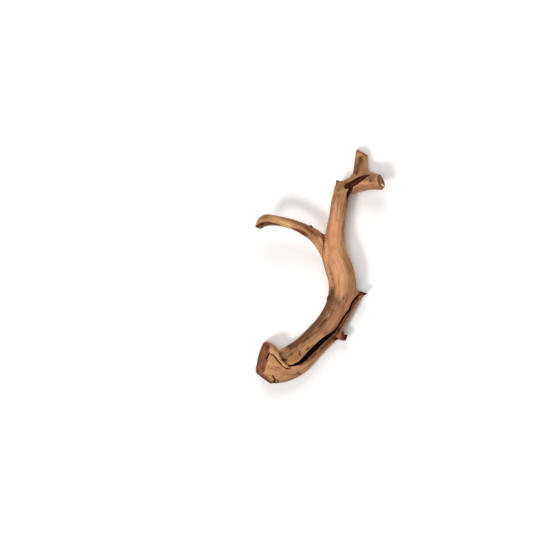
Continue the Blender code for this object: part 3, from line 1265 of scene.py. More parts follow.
    def marks(self) -> list[Patch | Spot | Streak]:
        """The stems' stains, blushes and pale crests, and painted shade on the lower trunk, partly on
        its upper-left flank, on the main stem's foot and on the cleft's slope.
        """
        # Painted shade: the lower trunk is darker where it bends
        lower_trunk_shade = (
            (-47.1, -110.9, 9.1), (-26.3, -96.6, 10.4), (-5.5, -79.7, 11.1), (10.1, -58.9, 11.7),
            (19.5, -44.3, 11), (24, -34.8, 6.5),
        )
        # Partly a stain, partly painted shade, on the lower trunk's upper-left flank
        stained_shaded_flank = (
            (-54.5, -112.5, 4.5), (-43.2, -107, 7), (-26.3, -92.7, 9.9), (-10.7, -77.1, 11.4),
            (1, -60.8, 10.1), (10.1, -45.9, 7.7), (14, -35.5, 5.7), (17.2, -26.4, 3.6), (18.7, -16.6, 2.3),
        )
        # Painted shade on the main stem's foot, where it comes out from under the lip
        stem_foot_shade = ((-54.9, -112.2, 3.9), (-44.5, -114.1, 5.9), (-35.4, -108.3, 5.9))
        # Painted shade on the second stem's slope down into the cleft
        cleft_slope_shade = (
            (-31.5, -128.6, 2), (-21.1, -123.9, 3.1), (-10.7, -116.1, 4.2), (-2.9, -108.9, 4.7),
            (4.9, -101.8, 4.7), (12.7, -95.3, 4.2), (19.2, -89.2, 3.4), (24.4, -81, 2.6),
        )
        lobe_body = (
            (24.8, -81.6, 2.9), (31.7, -70.6, 2), (36.4, -62.8, 1.8), (40.8, -55.6, 1.8),
            (44.3, -48.5, 2.1), (48.9, -42.5, 2.3), (53.7, -38.5, 2.3),
        )
        left_edge = ((3, 11.3, 2.6), (8.8, -9.5, 3.4), (12.1, -27.7, 3.6), (10.1, -47.2, 3.4))
        right_side = ((28.3, 21.7, 3.2), (34.8, 6.1, 5.2), (40, -12.1, 5.2), (42.6, -27.7, 4.2))
        lip_crest = (
            (-63.3, -103.1, 2.2), (-59.8, -108.9, 3.2), (-55.9, -114.5, 3.2), (-52.5, -119.5, 2.7),
            (-49.4, -124.2, 2.2), (-45.5, -128.2, 1.7), (-40.6, -130.4, 1.2),
        )
        lobe_crest = ((-39.9, -137.9, 3), (-26, -133.5, 3), (-12, -122.5, 2.6), (-1, -111.9, 2.2))
        crack_halo = ((9.5, -64.7, 1.6), (5.5, -70.1, 3.1), (0.4, -76.4, 2.9), (-9.4, -85.5, 2.1))
        bevel = ((-80, -136.5, 3), (-72, -145, 3.6), (-63.4, -150.5, 2.9))
        foot_split = ((-27, -109.6, 0.7), (-26.3, -114.8, 0.8))
        knot_tail = ((-62.3, -141.2, 1), (-58.8, -146.2, 1.6))
        under_cleft = ((-20, -112, 3), (-2, -95, 3.5), (16, -76, 3), (30, -56, 2.5))
        return [
            *streaks(
                Tone.STAIN_AND_SHADE, (lower_trunk_shade, 0.74, 0.3, 9), (stained_shaded_flank, 1.22, 0.15, 22),
                (stem_foot_shade, 0.8, 0.3, 4), (cleft_slope_shade, 0.97, 0.3, 6), (lobe_body, 0.85, 0.1, 5),
                (right_side, 0.12, 0.1, 10), (crack_halo, 0.9, 0.15, 4), (bevel, 0.35, 0.3),
                (knot_tail, 1.1, 0.3),
            ),
            *streaks(Tone.BLUSH, (left_edge, 0.4, 0.1, 10), (lobe_body, 0.62, 0.1), (knot_tail, 0.7, 0.3)),
            *streaks(Tone.PALE, (lip_crest, 0.06, 0.3), (lobe_crest, 0.12, 0.1)),
            *streaks(Tone.HOLLOW, (foot_split, 0.9, 0.5)),
            *streaks(Tone.STAIN_AND_SHADE, (under_cleft, 0.7, 0.2, 8), side=Side.LOWER),
            *patches(
                Tone.STAIN_AND_SHADE, (-46.3, -120.5, 4.4, 2.5, -12, 1.5), (19.8, -44.4, 9.6, 6.2, 55, 0.8),
                (6.2, -85.5, 8.5, 4.7, 38, 0.32), (6.2, -85.5, 5.9, 3.4, 45, 0.66),
                (33.2, -25.8, 11.7, 6.5, 80, 0.3), (-16.1, -106.1, 2.9, 1.6, 40, 0.85),
                (-10.7, -102.8, 1.8, 1.3, 40, 0.8), (-27.6, -139, 2.1, 1.2, 0, 0.55),
                (13.5, -9, 1.7, 1.2, 0, 0.75), (15.9, -16, 1.6, 1, 80, 0.65),
                (28.6, 51, 6.5, 2.6, 80, 0.12), (24.2, -81.5, 5.5, 2.2, 62, 1.3),
                (-76.3, -120.6, 8.5, 4.2, 82, 0.3), (-67.9, -103.9, 3.9, 2.9, 50, 0.75),
                (-73.7, -132.3, 4.4, 3.9, 75, 0.3), (-41.9, -139.5, 15.6, 6, 8, 0.2),
            ),
            *patches(Tone.HOLLOW, (-47.1, -120.8, 2.6, 1.6, -12, 0.8)),
            *patches(
                Tone.BLUSH, (-30.2, -114.8, 9.1, 5.9, 20, 0.45), (-16.1, -106.1, 2.9, 1.6, 40, 0.9),
                (-27.6, -139, 2.6, 1.4, 0, 0.9), (-41.9, -139.5, 2.9, 2, -30, 0.55),
                (13.4, -19.9, 15.6, 4.5, 88, 0.4), (9.4, -41.3, 3.6, 1.7, 70, 0.95),
                (10.9, 26.9, 13, 2.9, 95, 0.35), (24.2, -81.5, 5.5, 2.2, 62, 1.3),
                (-69.8, -104.4, 5.2, 4.4, 60, 0.75), (-41.9, -139.5, 15.6, 6, 8, 0.26),
                (-57.5, -131.7, 11.7, 5.2, -20, 0.16),
            ),
            *patches(
                Tone.ROSY, (18.6, 51.6, 11.7, 3.9, 84, 0.85), (17.4, 32, 11.7, 5.9, 80, 0.6),
                (18.6, 13.9, 15.6, 5.9, 100, 0.55), (21.2, -3, 11.7, 5.2, 98, 0.7),
                (-51, -136.9, 11.7, 5.2, 10, 0.2),
            ),
            *spots(
                Tone.STAIN_AND_SHADE, (47.5, -24.3, 26, 1.3, 3.4, 5, 1.5), (49.1, -29.2, 25, 1.7, 2.9, 5, 1.7),
                (32.5, -90.1, 17, 4.7, 5.2, 6, 1.7), (17.4, -98.4, 12, 2.6, 2.2, 4.6, 1),
                (52.3, -34.7, 22, 4.9, 2.6, 5.5, 1.2),
            ),
            *spots(
                Tone.BLUSH, (49.1, -29.8, 24, 2.1, 3.4, 5, 0.7), (30.8, -90.1, 17, 5.7, 5.5, 6.5, 1.7),
                (17.4, -98.4, 12, 2.9, 2.3, 4.6, 1.6), (52.3, -35.2, 22, 5.2, 2.9, 5.5, 1.5),
            ),
            *spots(
                Tone.HOLLOW, (32, -92.7, 18, 3.8, 1.8, 6, 1.3), (34.6, -91.1, 18, 2.6, 2.5, 5, 1.25),
                (30.6, -85.7, 19, 1.3, 2.1, 3, 1.3), (27.8, -93, 18, 2.1, 1.2, 4, 0.7),
                (20.9, -93.6, 19.3, 2, 1.4, 3.8, 2.6), (19.1, -95.5, 17, 1.8, 1.4, 3.8, 2.6),
                (54.6, -32.9, 23, 2.5, 1, 3, 1.7), (58.5, -35, 20, 1.8, 1.8, 4, 2.2),
                (-58, -149.1, 27, 3.1, 3, 3.6, 2.4),
            ),
            *spots(Tone.CHIP, (-56.8, -149, 27.2, 1.2, 1.2, 1.4, 0.62)),
            *patches(Tone.STAIN_AND_SHADE, (-55, -128, 26, 18, 30, 0.4), (28, -20, 30, 9, 85, 0.35), side=Side.LOWER),
        ]


@dataclass(frozen=True)
class SideBranch:
    """The branch that leaves the main stem, lifts clear of the floor and ends hollow."""

    stations: tuple = (
        (15.8, 10.5, 28, 12, 10.5), (9.3, 20.3, 30, 10.6, 9.5), (1.5, 31, 33, 9.4, 8.5),
        (-9, 41, 37, 8.3, 7.5), (-24.9, 50.1, 42.5, 7, 7), (-37.2, 55.1, 46.5, 6.4, 7),
        (-49.5, 58.4, 50, 6.3, 7.5), (-61, 60.3, 52.5, 6.9, 8), (-69.9, 60.5, 53.5, 7.8, 8),
        (-76, 57.5, 53, 7, 7), (-80, 52, 51.5, 4.9, 5.5), (-82.5, 47, 50, 4.2, 4.6),
    )
    gouge: tuple = (
        (-16.5, 41, 1.3, 1.8), (-22.5, 44.3, 2.2, 3.2), (-29.5, 47.2, 2, 3), (-37.5, 50, 1.2, 1.6),
    )
    hollow_tip: tuple = (
        (-52, 53.2, 0.9, 1), (-60, 55, 1.6, 2.6), (-68, 55.8, 2.4, 4.5), (-75, 54.6, 3, 6),
        (-82.5, 50.2, 3.2, 8),
    )
    crotch_line: tuple = (
        (2, 41, 0.8, 0.8), (4, 34, 1.1, 1.6), (5.2, 26, 1, 1.2), (5, 17, 0.8, 0.8), (5.4, 9, 0.6, 0.4),
    )

    def limbs(self) -> list[LimbShape]:
        """The branch."""
        return [LimbShape(self.stations, 6.0)]

    def grooves(self) -> list[Groove]:
        """The gouge on its lower edge, the hollow at its tip and the line at its root."""
        return [
            Groove(self.gouge, Form.SCOOP, soften=0.6, wander=0.3, shade=0.0),
            Groove(self.hollow_tip, Form.SCOOP, soften=0.5, wander=0.3, shade=0.54),
            Groove(self.crotch_line, Form.BLADE, soften=1.6, wander=0.3, shade=0.10),
        ]

    def cuts(self) -> list[EndCut]:
        """The broken end."""
        return [EndCut((-80.0, 50.5, 51), (-0.25, -0.96, 0.1), Cut.BROKEN,
                       reach=20.0, soften=0.5, splinter=0.8)]

    def knots(self) -> list[Knot]:
        """The nub on its upper edge and a healed twig below."""
        return knot_list(
            (-12.5, 51.5, 40, 1.6, 1.3, -0.8, 0.9), (-45, 56, 42, 2.6, 0.6, 0.8, 0.6),
            (-2, 30, 26, 3, 0.6, 0.8, 0.6),
        )

    def ripples(self) -> list[Ripples]:
        """The folds in the crotch under the main stem."""
        return [Ripples((9.0, 24.0, 36.0), 8.0, 100.0, 3.4, 0.08)]

    def marks(self) -> list[Patch | Spot | Streak]:
        """The branch's dark upper flank, painted highlight on its crest, painted shade in its crotch
        and its red gouge.
        """
        dark_flank = (
            (-51, 63.6, 1.3), (-38, 60.1, 2.6), (-26.3, 55.5, 3.6), (-15.9, 49, 4.7), (-5.5, 41.9, 4.9),
            (1.7, 34.7, 3.4),
        )
        dark_core = (
            (-45.8, 62.5, 1.2), (-32.8, 58.6, 1.4), (-21.1, 51, 2), (-12, 45.8, 2.6), (-2.9, 40.6, 3.4),
        )
        # Painted highlight along the branch's crest
        crest = ((-57.5, 60.5, 1), (-49.7, 57.6, 1.8), (-41.9, 54.5, 2.2), (-34.7, 51.4, 1.6))
        gouge = ((-37.3, 49.8, 1.2), (-30.2, 47.2, 2.2), (-23, 44.1, 2.2), (-16.5, 41.2, 1.2))
        gouge_edge = ((-36.7, 47.8, 0.8), (-28.9, 44.6, 0.9), (-21.7, 41.5, 1), (-16.4, 39.6, 0.8))
        # Painted shade in the crotch where the branch leaves the main stem, with a red tint
        crotch = ((1.7, 43.8, 2), (3.9, 38.9, 2.2), (4.7, 33.4, 1.7), (4.2, 27.2, 0.9))
        root_line = ((4.2, 29.5, 1.3), (3.1, 21.7, 1), (3.6, 13.9, 1), (4.9, 6.1, 0.8))
        lower_rim = ((-78.3, 49, 1.2), (-67.9, 52.4, 1.2), (-56.2, 52.6, 1), (-47.1, 50.6, 0.8))
        return [
            *streaks(
                Tone.STAIN_AND_SHADE, (dark_flank, 0.58, 0.15, 8), (dark_core, 0.76, 0.1, 8),
                (gouge_edge, 0.26, 0.3, 3), (crotch, 0.92, 0.1, 3), (root_line, 0.35, 0.2),
                (lower_rim, 0.7, 0.4),
            ),
            *streaks(Tone.PALE, (crest, 0.74, 0.1, 6)),
            *streaks(
                Tone.BLUSH, (gouge, 0.92, 0.3, 3), (gouge_edge, 1, 0.4), (crotch, 0.6, 0.1, 3),
                (root_line, 0.62, 0.2), (lower_rim, 0.9, 0.4),
            ),
            # Painted highlight on the branch's crest
            *patches(Tone.PALE, (-44.5, 55.2, 7.8, 1.7, -24, 0.75), (-57.5, 62.3, 9.1, 2.1, -12, 0.3)),
            *patches(Tone.OLIVE, (-71.8, 63.8, 11.7, 4.4, 6, 0.75)),
            *patches(
                Tone.STAIN_AND_SHADE, (-72.4, 65, 9.1, 3.9, 20, 0.55), (-48.4, 62.3, 7.8, 1.7, -14, 0.55),
                (-17.8, 50.3, 6.5, 3.9, -35, 0.8), (-4.8, 41.2, 4.2, 3.4, -45, 0.3),
            ),
            *spots(
                Tone.HOLLOW, (-11.3, 52.6, 39.5, 2.1, 1.7, 3.2, 2.2), (-82.2, 52.1, 49.5, 2, 2, 3.5, 1.6),
            ),
            *patches(
                Tone.ROSY, (-21.1, 47.3, 7.8, 1.7, -30, 0.5), (-26.9, 47.1, 4.9, 2.1, -20, 0.34),
                (-28.9, 56.2, 4.2, 2.1, -10, 0.18), (-5.5, 30.8, 7.8, 3.2, -50, 0.35),
                (6.2, 16.5, 7.8, 3.9, 95, 0.85),
            ),
            *patches(Tone.BLUSH, (-8.7, 43.8, 9.1, 1.6, -38, 0.4)),
            *patches(Tone.HOLLOW, (-75.7, 55.2, 5.2, 1.9, 14, 0.9)),
            *patches(Tone.STAIN_AND_SHADE, (-30, 53, 30, 6, -22, 0.3), side=Side.LOWER),
        ]


@dataclass(frozen=True)
class TopFork:
    """The bend at the top, with its arm, its stub and its corner spur."""

    stub: tuple = (
        (50.5, 109, 24, 11, 10), (52.2, 120.5, 20, 10.5, 9.5), (52.6, 130.5, 15, 9.3, 9),
        (53.4, 141.5, 9.4, 8.4, 8.6), (54.7, 151.5, 7, 7.9, 8.6), (55.4, 162, 6, 7.9, 8.6),
    )
    collar: tuple = (
        (52, 118, 22, 8, 8), (60, 119.3, 24, 6.8, 6.8), (66, 118, 27, 4.8, 5.6), (73, 115, 31, 4.6, 5.2),
    )
    corner_spur: tuple = (
        (29.5, 95.5, 25, 8.5, 8.5), (26.3, 101.8, 26, 8.7, 8.2), (24.2, 107.4, 26.5, 4.8, 5.2),
        (21.8, 111.6, 27.5, 1.1, 1.5),
    )
    hollow: tuple = (
        (35.1, 104.9, 4, 3.6), (39.4, 107, 3.6, 4.8), (43.4, 108.4, 3.9, 5.2), (47.8, 110.9, 3.6, 5),
        (52.3, 113.5, 3.4, 4.4), (55.6, 115.6, 2.6, 3.4), (59.8, 117.5, 1.4, 2), (64.5, 118.8, 0.8, 1),
    )
    slot: tuple = (
        (40.8, 103.2, 2, 3.4), (39, 99.7, 2.5, 4.2), (36.8, 95.5, 2.1, 4.2), (35.4, 91.5, 1.6, 3.4),
        (34.7, 87.5, 0.8, 1.6),
    )

    def limbs(self) -> list[LimbShape]:
        """The stub, the collar in its crotch and the spur. The arm is the main stem's end."""
        return [
            LimbShape(self.stub, 6.0),
            LimbShape(self.collar, 4.0),
            LimbShape(self.corner_spur, 4.0),
        ]

    def grooves(self) -> list[Groove]:
        """The long hollow on the arm and the slot beside it."""
        return [
            Groove(self.hollow, Form.SCOOP, soften=0.5, wander=0.6, shade=0.86),
            Groove(self.slot, Form.BLADE, soften=0.5, wander=0.3, shade=0.90),
        ]

    def cuts(self) -> list[EndCut]:
        """The sawn arm with its bevel, and the sawn stub."""
        return [
            EndCut((79.9, 107, 35), (0.85, 0.27, 0.45), Cut.SAWN, reach=30.0),
            EndCut((81.9, 102.5, 33), (0.75, -0.64, 0.15), Cut.SAWN, reach=30.0),
            EndCut((55.3, 149.3, 8), (0.485, 0.865, 0.12), Cut.SAWN, reach=30.0),
        ]

    def knots(self) -> list[Knot]:
        """Dents and healed twigs."""
        return knot_list(
            (65.4, 112.1, 42, 1.8, 0.2, 0.7, 0.8), (23, 60, 39, 1.5, 0.1, 0.4, 0.7),
            (80.6, 105.9, 34.4, 2.2, 0.1, 0.3, 0), (82.2, 105.5, 31.4, 2.2, 0.1, 0.3, 0),
            (30, 78, 16, 3.2, 0.7, 0.9, 0.6), (60, 104, 20, 2.6, 0.5, 0.8, 0.6),
        )

    def ripples(self) -> list[Ripples]:
        """The folds inside the bend."""
        return [Ripples((43.0, 95.0, 26.0), 9.0, 130.0, 3.0, 0.18)]

    def marks(self) -> list[Patch | Spot | Streak]:
        """The fork's stains, its pale sliver and the fresh chip on the arm's end."""
        spur_edge = ((16.1, 97.8, 1), (18.3, 103.9, 1.4), (20.8, 109.7, 1.7), (21.7, 112.5, 1.7))
        spur_line = ((22.5, 110.6, 0.8), (28.3, 110.9, 0.7))
        sliver = ((35.6, 99.7, 0.8), (37.1, 101.5, 1), (38.6, 103, 0.7))
        stub_band = (
            (54.3, 147.8, 2.1), (53, 143.9, 3.4), (51, 137.4, 5.6), (48.2, 129.6, 6.5), (45.9, 121.8, 5.7),
            (44.5, 116.6, 4.2),
        )
        stub_rim = ((48.5, 150.9, 1.2), (55, 148.1, 1.2), (61.9, 142.6, 1))
        arm_belly = ((41.3, 95.8, 3.9), (49.1, 101.7, 4.4), (59.5, 103.4, 4.4), (76.4, 102.8, 3.4))
        arm_back = ((46.5, 109.5, 1.6), (54.3, 113, 2.9), (64.7, 114.3, 4.4), (72.5, 114.3, 5.7))
        return [
            *streaks(
                Tone.STAIN_AND_SHADE, (spur_edge, 0.72, 0.3, 3), (spur_line, 0.85, 0.4), (stub_band, 0.9, 0.15, 6),
                (arm_belly, 0.22, 0.3), (arm_back, 0.74, 0.1, 4),
            ),
            *streaks(Tone.BLUSH, (spur_edge, 1, 0.3, 3), (stub_rim, 0.75, 0.4), (arm_belly, 0.26, 0.2)),
            *streaks(Tone.PALE, (sliver, 0.75, 0.6)),
            *patches(
                Tone.STAIN_AND_SHADE, (23.8, 103, 8.5, 5.9, 75, 0.62), (23.8, 89.3, 10.4, 6.5, 80, 0.58),
                (30.3, 104.9, 10.4, 4.4, 60, 0.66), (30.9, 81.5, 11.7, 3.9, 82, 0.42),
                (48.5, 127.9, 11.6, 5, 82, 0.4), (58.9, 121.8, 7.8, 4.5, -30, 0.42),
                (38.7, 114, 11.7, 3.1, 28, 0.5), (65, 111.4, 2.8, 2.9, 90, 1.05),
                (69.3, 117.9, 6.5, 2.9, 10, 0.55), (63.4, 118.4, 5.2, 1.2, -6, 0.5),
                (68, 108, 8.5, 3.6, -4, 0.4), (71.1, 111.7, 6, 3, 86, 0.62),
                (50.4, 148.8, 4.7, 2.6, -30, 0.34), (55.9, 112.8, 3.4, 2, 30, 0.75),
            ),
            *patches(Tone.BLUSH, (22.5, 91.3, 6.5, 3.9, 80, 0.35)),
            *patches(Tone.PALE, (72.4, 112.7, 5.2, 1.2, 80, 0.25), (59.3, 134.2, 7.8, 2.1, 88, 0.22)),
            *patches(Tone.ROSY, (58, 143.3, 5.2, 2.1, -35, 0.25), (18.3, 96.5, 4.5, 1.6, 70, 0.45)),
            *patches(
                Tone.OLIVE, (27, 99.7, 11.7, 10.4, 80, 0.62), (25.7, 81.5, 15.6, 5.2, 85, 0.35),
                (53, 133.5, 14.3, 9.1, 82, 0.8), (47.8, 117.3, 11.7, 3.4, 28, 0.8),
                (64.7, 118.6, 9.1, 2.9, -8, 0.7), (55.6, 112.1, 3.9, 2.6, 30, 0.7),
                (28.3, 108.8, 7.8, 3.1, 20, 0.6),
            ),
            *spots(Tone.BLUSH, (21.1, 110.9, 28, 1.6, 2.6, 4, 1.1)),
            *spots(
                Tone.STAIN_AND_SHADE, (20.9, 111.2, 28, 1.7, 2.5, 4, 1.2), (35.2, 84.8, 32, 1, 3.6, 3.2, 1),
                (34.9, 78.4, 31, 1, 3.6, 3, 0.95), (13.3, 79.5, 30.5, 1, 4.6, 2.8, 0.95),
                (12.8, 72, 30.5, 0.9, 4, 2.8, 0.8),
            ),
            *spots(
                Tone.CHIP, (79.4, 106.5, 36.6, 1.1, 0.7, 1.6, 3), (80.5, 106.1, 34.6, 1.2, 1, 1.6, 7),
                (81.8, 105.7, 32.2, 1.2, 1, 1.6, 7),
            ),
            *spots(Tone.ROSY, (79, 111, 36.5, 4, 6, 6, 0.42)),
            *patches(Tone.STAIN_AND_SHADE, (48, 108, 28, 7, 15, 0.4), side=Side.LOWER),
        ]


def gather() -> Driftwood:
    """The wood, from its three regions, with every route laid on the skin."""
    regions = (Stems(), SideBranch(), TopFork())
    wood = Driftwood(
        limbs=[limb for region in regions for limb in region.limbs()],
        cuts=[cut for region in regions for cut in region.cuts()],
        knots=[knot for region in regions for knot in region.knots()],
        ripples=[folds for region in regions for folds in region.ripples()],
        marks=[mark for region in regions for mark in region.marks()],
        lip=Lip(Stems().lip),
    )
    wood.lip.lay(wood)
    for region in regions:
        for groove in region.grooves():
            groove.lay(wood)
            wood.grooves.append(groove)
    return wood


def mesh_of(name: str, skin: Skin) -> bpy.types.Object:
    """A new object from a skin, written in metres with its faces smooth.

    Args:
        name: The name of the object and of its mesh.
        skin: The surface, in millimetres.

    Returns:
        The object, which is in the scene.
    """
    mesh = bpy.data.meshes.new(name)
    mesh.vertices.add(len(skin.corners))
    mesh.vertices.foreach_set("co", (skin.corners * MM).ravel())
    mesh.loops.add(skin.faces.size)
    mesh.loops.foreach_set("vertex_index", skin.faces.ravel())
    mesh.polygons.add(len(skin.faces))
    mesh.polygons.foreach_set("loop_start", np.arange(0, skin.faces.size, 4))
    mesh.update(calc_edges=True)
    mesh.shade_smooth()
    body = bpy.data.objects.new(name, mesh)
    bpy.context.scene.collection.objects.link(body)
    return body


def attach(body: bpy.types.Object, name: str, values: np.ndarray) -> None:
    """Puts a number or a vector on every corner of a mesh.

    Args:
        body: The mesh's object.
        name: The name that the material reads it by.
        values: One number or one row of three for each corner.
    """
    kind, part = ("FLOAT", "value") if values.ndim == 1 else ("FLOAT_VECTOR", "vector")
    layer = body.data.attributes.new(name, kind, "POINT")
    layer.data.foreach_set(part, values.astype(np.float32).ravel())


def seen(red: float, green: float, blue: float) -> tuple:
    """The surface colour that shows as stated under the studio's light.

    Args:
        red: The screen's red, from 0 to 255.
        green: Its green.
        blue: Its blue.

    Returns:
        The values by the screen's own curve made linear, over the studio's light, and 1.
    """
    share = np.array([red, green, blue]) / 255.0
    linear = np.where(share <= 0.04045, share / 12.92, ((share + 0.055) / 1.055) ** 2.4)
    return (*(linear / STUDIO_LIGHT), 1.0)


class Bench:
    """Lays and wires the nodes of one node tree."""

    def __init__(self, tree: bpy.types.NodeTree) -> None:
        """Takes the tree to work on."""
        self.tree = tree

    def add(self, kind: str, inputs: dict, out: int | str = 0, **settings: object) -> object:
        """Adds a node and gives one of its outputs.

        Args:
            kind: The node's type, without the word ShaderNode.
            inputs: Sockets or plain values by the input's name or number.
            out: The name or number of the output to give.
            settings: Properties to set on the node first.

        Returns:
            The output socket.
        """
        node = self.tree.nodes.new("ShaderNode" + kind)
        for name, value in settings.items():
            setattr(node, name, value)
        for name, value in inputs.items():
            if isinstance(value, bpy.types.NodeSocket):
                self.tree.links.new(value, node.inputs[name])
            else:
                node.inputs[name].default_value = value
        return node.outputs[out]

    def math(self, operation: str, *values: object) -> object:
        """One arithmetic step on numbers."""
        return self.add("Math", dict(enumerate(values)), operation=operation)

    def product(self, first: object, second: object) -> object:
        """Two numbers multiplied."""
        return self.math("MULTIPLY", first, second)

    def total(self, base: object, masks: dict, parts: tuple) -> object:
        """A base plus each mask times its factor.

        Args:
            base: The number to start from.
            masks: The masks by name.
            parts: Pairs of a mask's name and its factor.

        Returns:
            The sum's socket.
        """
        for name, factor in parts:
            base = self.math("MULTIPLY_ADD", masks[name], factor, base)
        return base

    def scaled(self, vector: object, factors: tuple) -> object:
        """A vector with each axis multiplied by its factor."""
        return self.add("VectorMath", {0: vector, 1: factors}, operation="MULTIPLY")

    def noise(self, vector: object, cells: tuple, detail: float, out: str = "Fac") -> object:
        """Noise with lumps of a stated size.

        Args:
            vector: The place to read it at.
            cells: The lumps' size along each axis, in the vector's own units.
            detail: How many finer layers it has.
            out: Fac for a number from 0 to 1, Color for three.

        Returns:
            The output socket.
        """
        place = self.scaled(vector, tuple(1.0 / size for size in cells))
        return self.add("TexNoise", {"Vector": place, "Scale": 1.0, "Detail": detail,
                                     "Roughness": 0.55}, out=out)

    def step(self, value: object, low: float, high: float) -> object:
        """A smooth step.

        Args:
            value: The number to read it at.
            low: Where it is 0.
            high: Where it is 1. It may be under low, which turns the step round.

        Returns:
            The output socket.
        """
        turned = high < low
        ends = {"Value": value, "From Min": min(low, high), "From Max": max(low, high),
                "To Min": float(turned), "To Max": float(not turned)}
        return self.add("MapRange", ends, interpolation_type="SMOOTHSTEP")

    def blend(self, share: object, first: object, second: object, kind: str = "MIX") -> object:
        """Two colours blended.

        Args:
            share: How much of the second there is, from 0 to 1.
            first: The first colour.
            second: The second colour.
            kind: How the second goes over the first.

        Returns:
            The output socket.
        """
        return self.add("Mix", {0: share, 6: first, 7: second}, out=2, data_type="RGBA",
                        blend_type=kind)

    def between(self, share: object, first: object, second: object) -> object:
        """Two numbers mixed by a share."""
        return self.add("Mix", {0: share, 2: first, 3: second}, out=0, data_type="FLOAT")


class Group:
    """A shader node group with named inputs and outputs."""

    KINDS = {"vector": "NodeSocketVector", "value": "NodeSocketFloat"}

    def __init__(self, name: str, inputs: dict, outputs: tuple) -> None:
        """Makes the group's interface.

        Args:
            name: The group's name.
            inputs: For each input's name, "vector" or "value".
            outputs: The names of its outputs, which are all values.
        """
        self.tree = bpy.data.node_groups.new(name, "ShaderNodeTree")
        for label, kind in inputs.items():
            self.tree.interface.new_socket(name=label, in_out="INPUT", socket_type=self.KINDS[kind])
        for label in outputs:
            self.tree.interface.new_socket(name=label, in_out="OUTPUT",
                                           socket_type=self.KINDS["value"])
        self.bench = Bench(self.tree)
        self.given = self.tree.nodes.new("NodeGroupInput").outputs
        self.result = self.tree.nodes.new("NodeGroupOutput").inputs

    def give(self, **results: object) -> None:
        """Wires the outputs, whose names are written with capitals."""
        for label, socket in results.items():
            self.tree.links.new(socket, self.result[label.capitalize()])

    def placed(self, bench: Bench, **inputs: object) -> bpy.types.ShaderNodeGroup:
        """Places the group in a tree.

        Args:
            bench: Where the node is laid.
            inputs: Sockets or plain values by the input's name in small letters.

        Returns:
            The node.
        """
        node = bench.tree.nodes.new("ShaderNodeGroup")
        node.node_tree = self.tree
        for label, value in inputs.items():
            if isinstance(value, bpy.types.NodeSocket):
                bench.tree.links.new(value, node.inputs[label.capitalize()])
            else:
                node.inputs[label.capitalize()].default_value = value
        return node


def long_grain_group() -> Group:
    """Streaks and fibres that run along a limb, in its straightened frame in millimetres.

    Returns:
        Bands, broad tones along the limb; Streaks, narrow ones; Fibres, the finest; and Checks,
        thin drying cracks, which lie where a stretched noise passes its middle value.
    """
    group = Group("long grain", {"Place": "vector", "Wander": "value"},
                  ("Bands", "Streaks", "Fibres", "Checks"))
    bench, place = group.bench, group.given["Place"]
    sway = bench.noise(place, (11.0, 11.0, 60.0), 2.0, out="Color")
    sway = bench.add("VectorMath", {0: sway, 1: (0.5, 0.5, 0.5)}, operation="SUBTRACT")
    sway = bench.add("VectorMath", {0: sway, "Scale": group.given["Wander"]}, operation="SCALE")
    bent = bench.add("VectorMath", {0: place, 1: sway}, operation="ADD")
    cracks = bench.math("ABSOLUTE", bench.math("SUBTRACT",
                                               bench.noise(bent, (4.2, 4.2, 70.0), 1.0), 0.5))
    where = bench.step(bench.noise(place, (14.0, 14.0, 26.0), 1.0), 0.61, 0.70)
    group.give(
        bands=bench.step(bench.noise(bent, (7.5, 7.5, 90.0), 2.0), 0.30, 0.70),
        streaks=bench.step(bench.noise(bent, (1.7, 1.7, 34.0), 3.0), 0.25, 0.75),
        fibres=bench.step(bench.noise(bent, (0.45, 0.45, 9.0), 2.0), 0.25, 0.75),
        checks=bench.math("MULTIPLY", where, bench.step(cracks, 0.012, 0.003)),
    )
    return group


def end_grain_group() -> Group:
    """Growth rings and rays of a cut end, from a limb's straightened frame in millimetres.

    Returns:
        Rings, a sine of the distance from the limb's middle, bent by noise and blurred in places
        by another; and Rays, noise that changes quickly with the angle and slowly with the
        distance.
    """
    group = Group("end grain", {"Place": "vector", "Ring": "value"}, ("Rings", "Rays"))
    bench, place = group.bench, group.given["Place"]
    flat = bench.scaled(place, (1.0, 1.0, 0.0))
    radius = bench.add("VectorMath", {0: flat}, out="Value", operation="LENGTH")
    wobble = bench.math("MULTIPLY", bench.noise(place, (9.0, 9.0, 9.0), 2.0), 5.0)
    turns = bench.math("DIVIDE", bench.math("ADD", radius, wobble), group.given["Ring"])
    wave = bench.math("SINE", bench.math("MULTIPLY", turns, 2.0 * math.pi))
    clear = bench.step(bench.noise(place, (7.0, 7.0, 7.0), 2.0), 0.38, 0.62)
    wave = bench.math("MULTIPLY", wave, clear)
    split = bench.add("SeparateXYZ", {0: place}, out=0).node
    angle = bench.math("ARCTAN2", split.outputs[1], split.outputs[0])
    fan = bench.add("CombineXYZ", {0: bench.math("MULTIPLY", angle, 6.0),
                                   1: bench.math("MULTIPLY", radius, 0.20), 2: 0.0})
    rays = bench.noise(fan, (1.0, 1.0, 1.0), 3.0)
    group.give(
        rings=bench.math("MULTIPLY_ADD", wave, 0.5, 0.5),
        rays=bench.step(rays, 0.35, 0.65),
    )
    return group


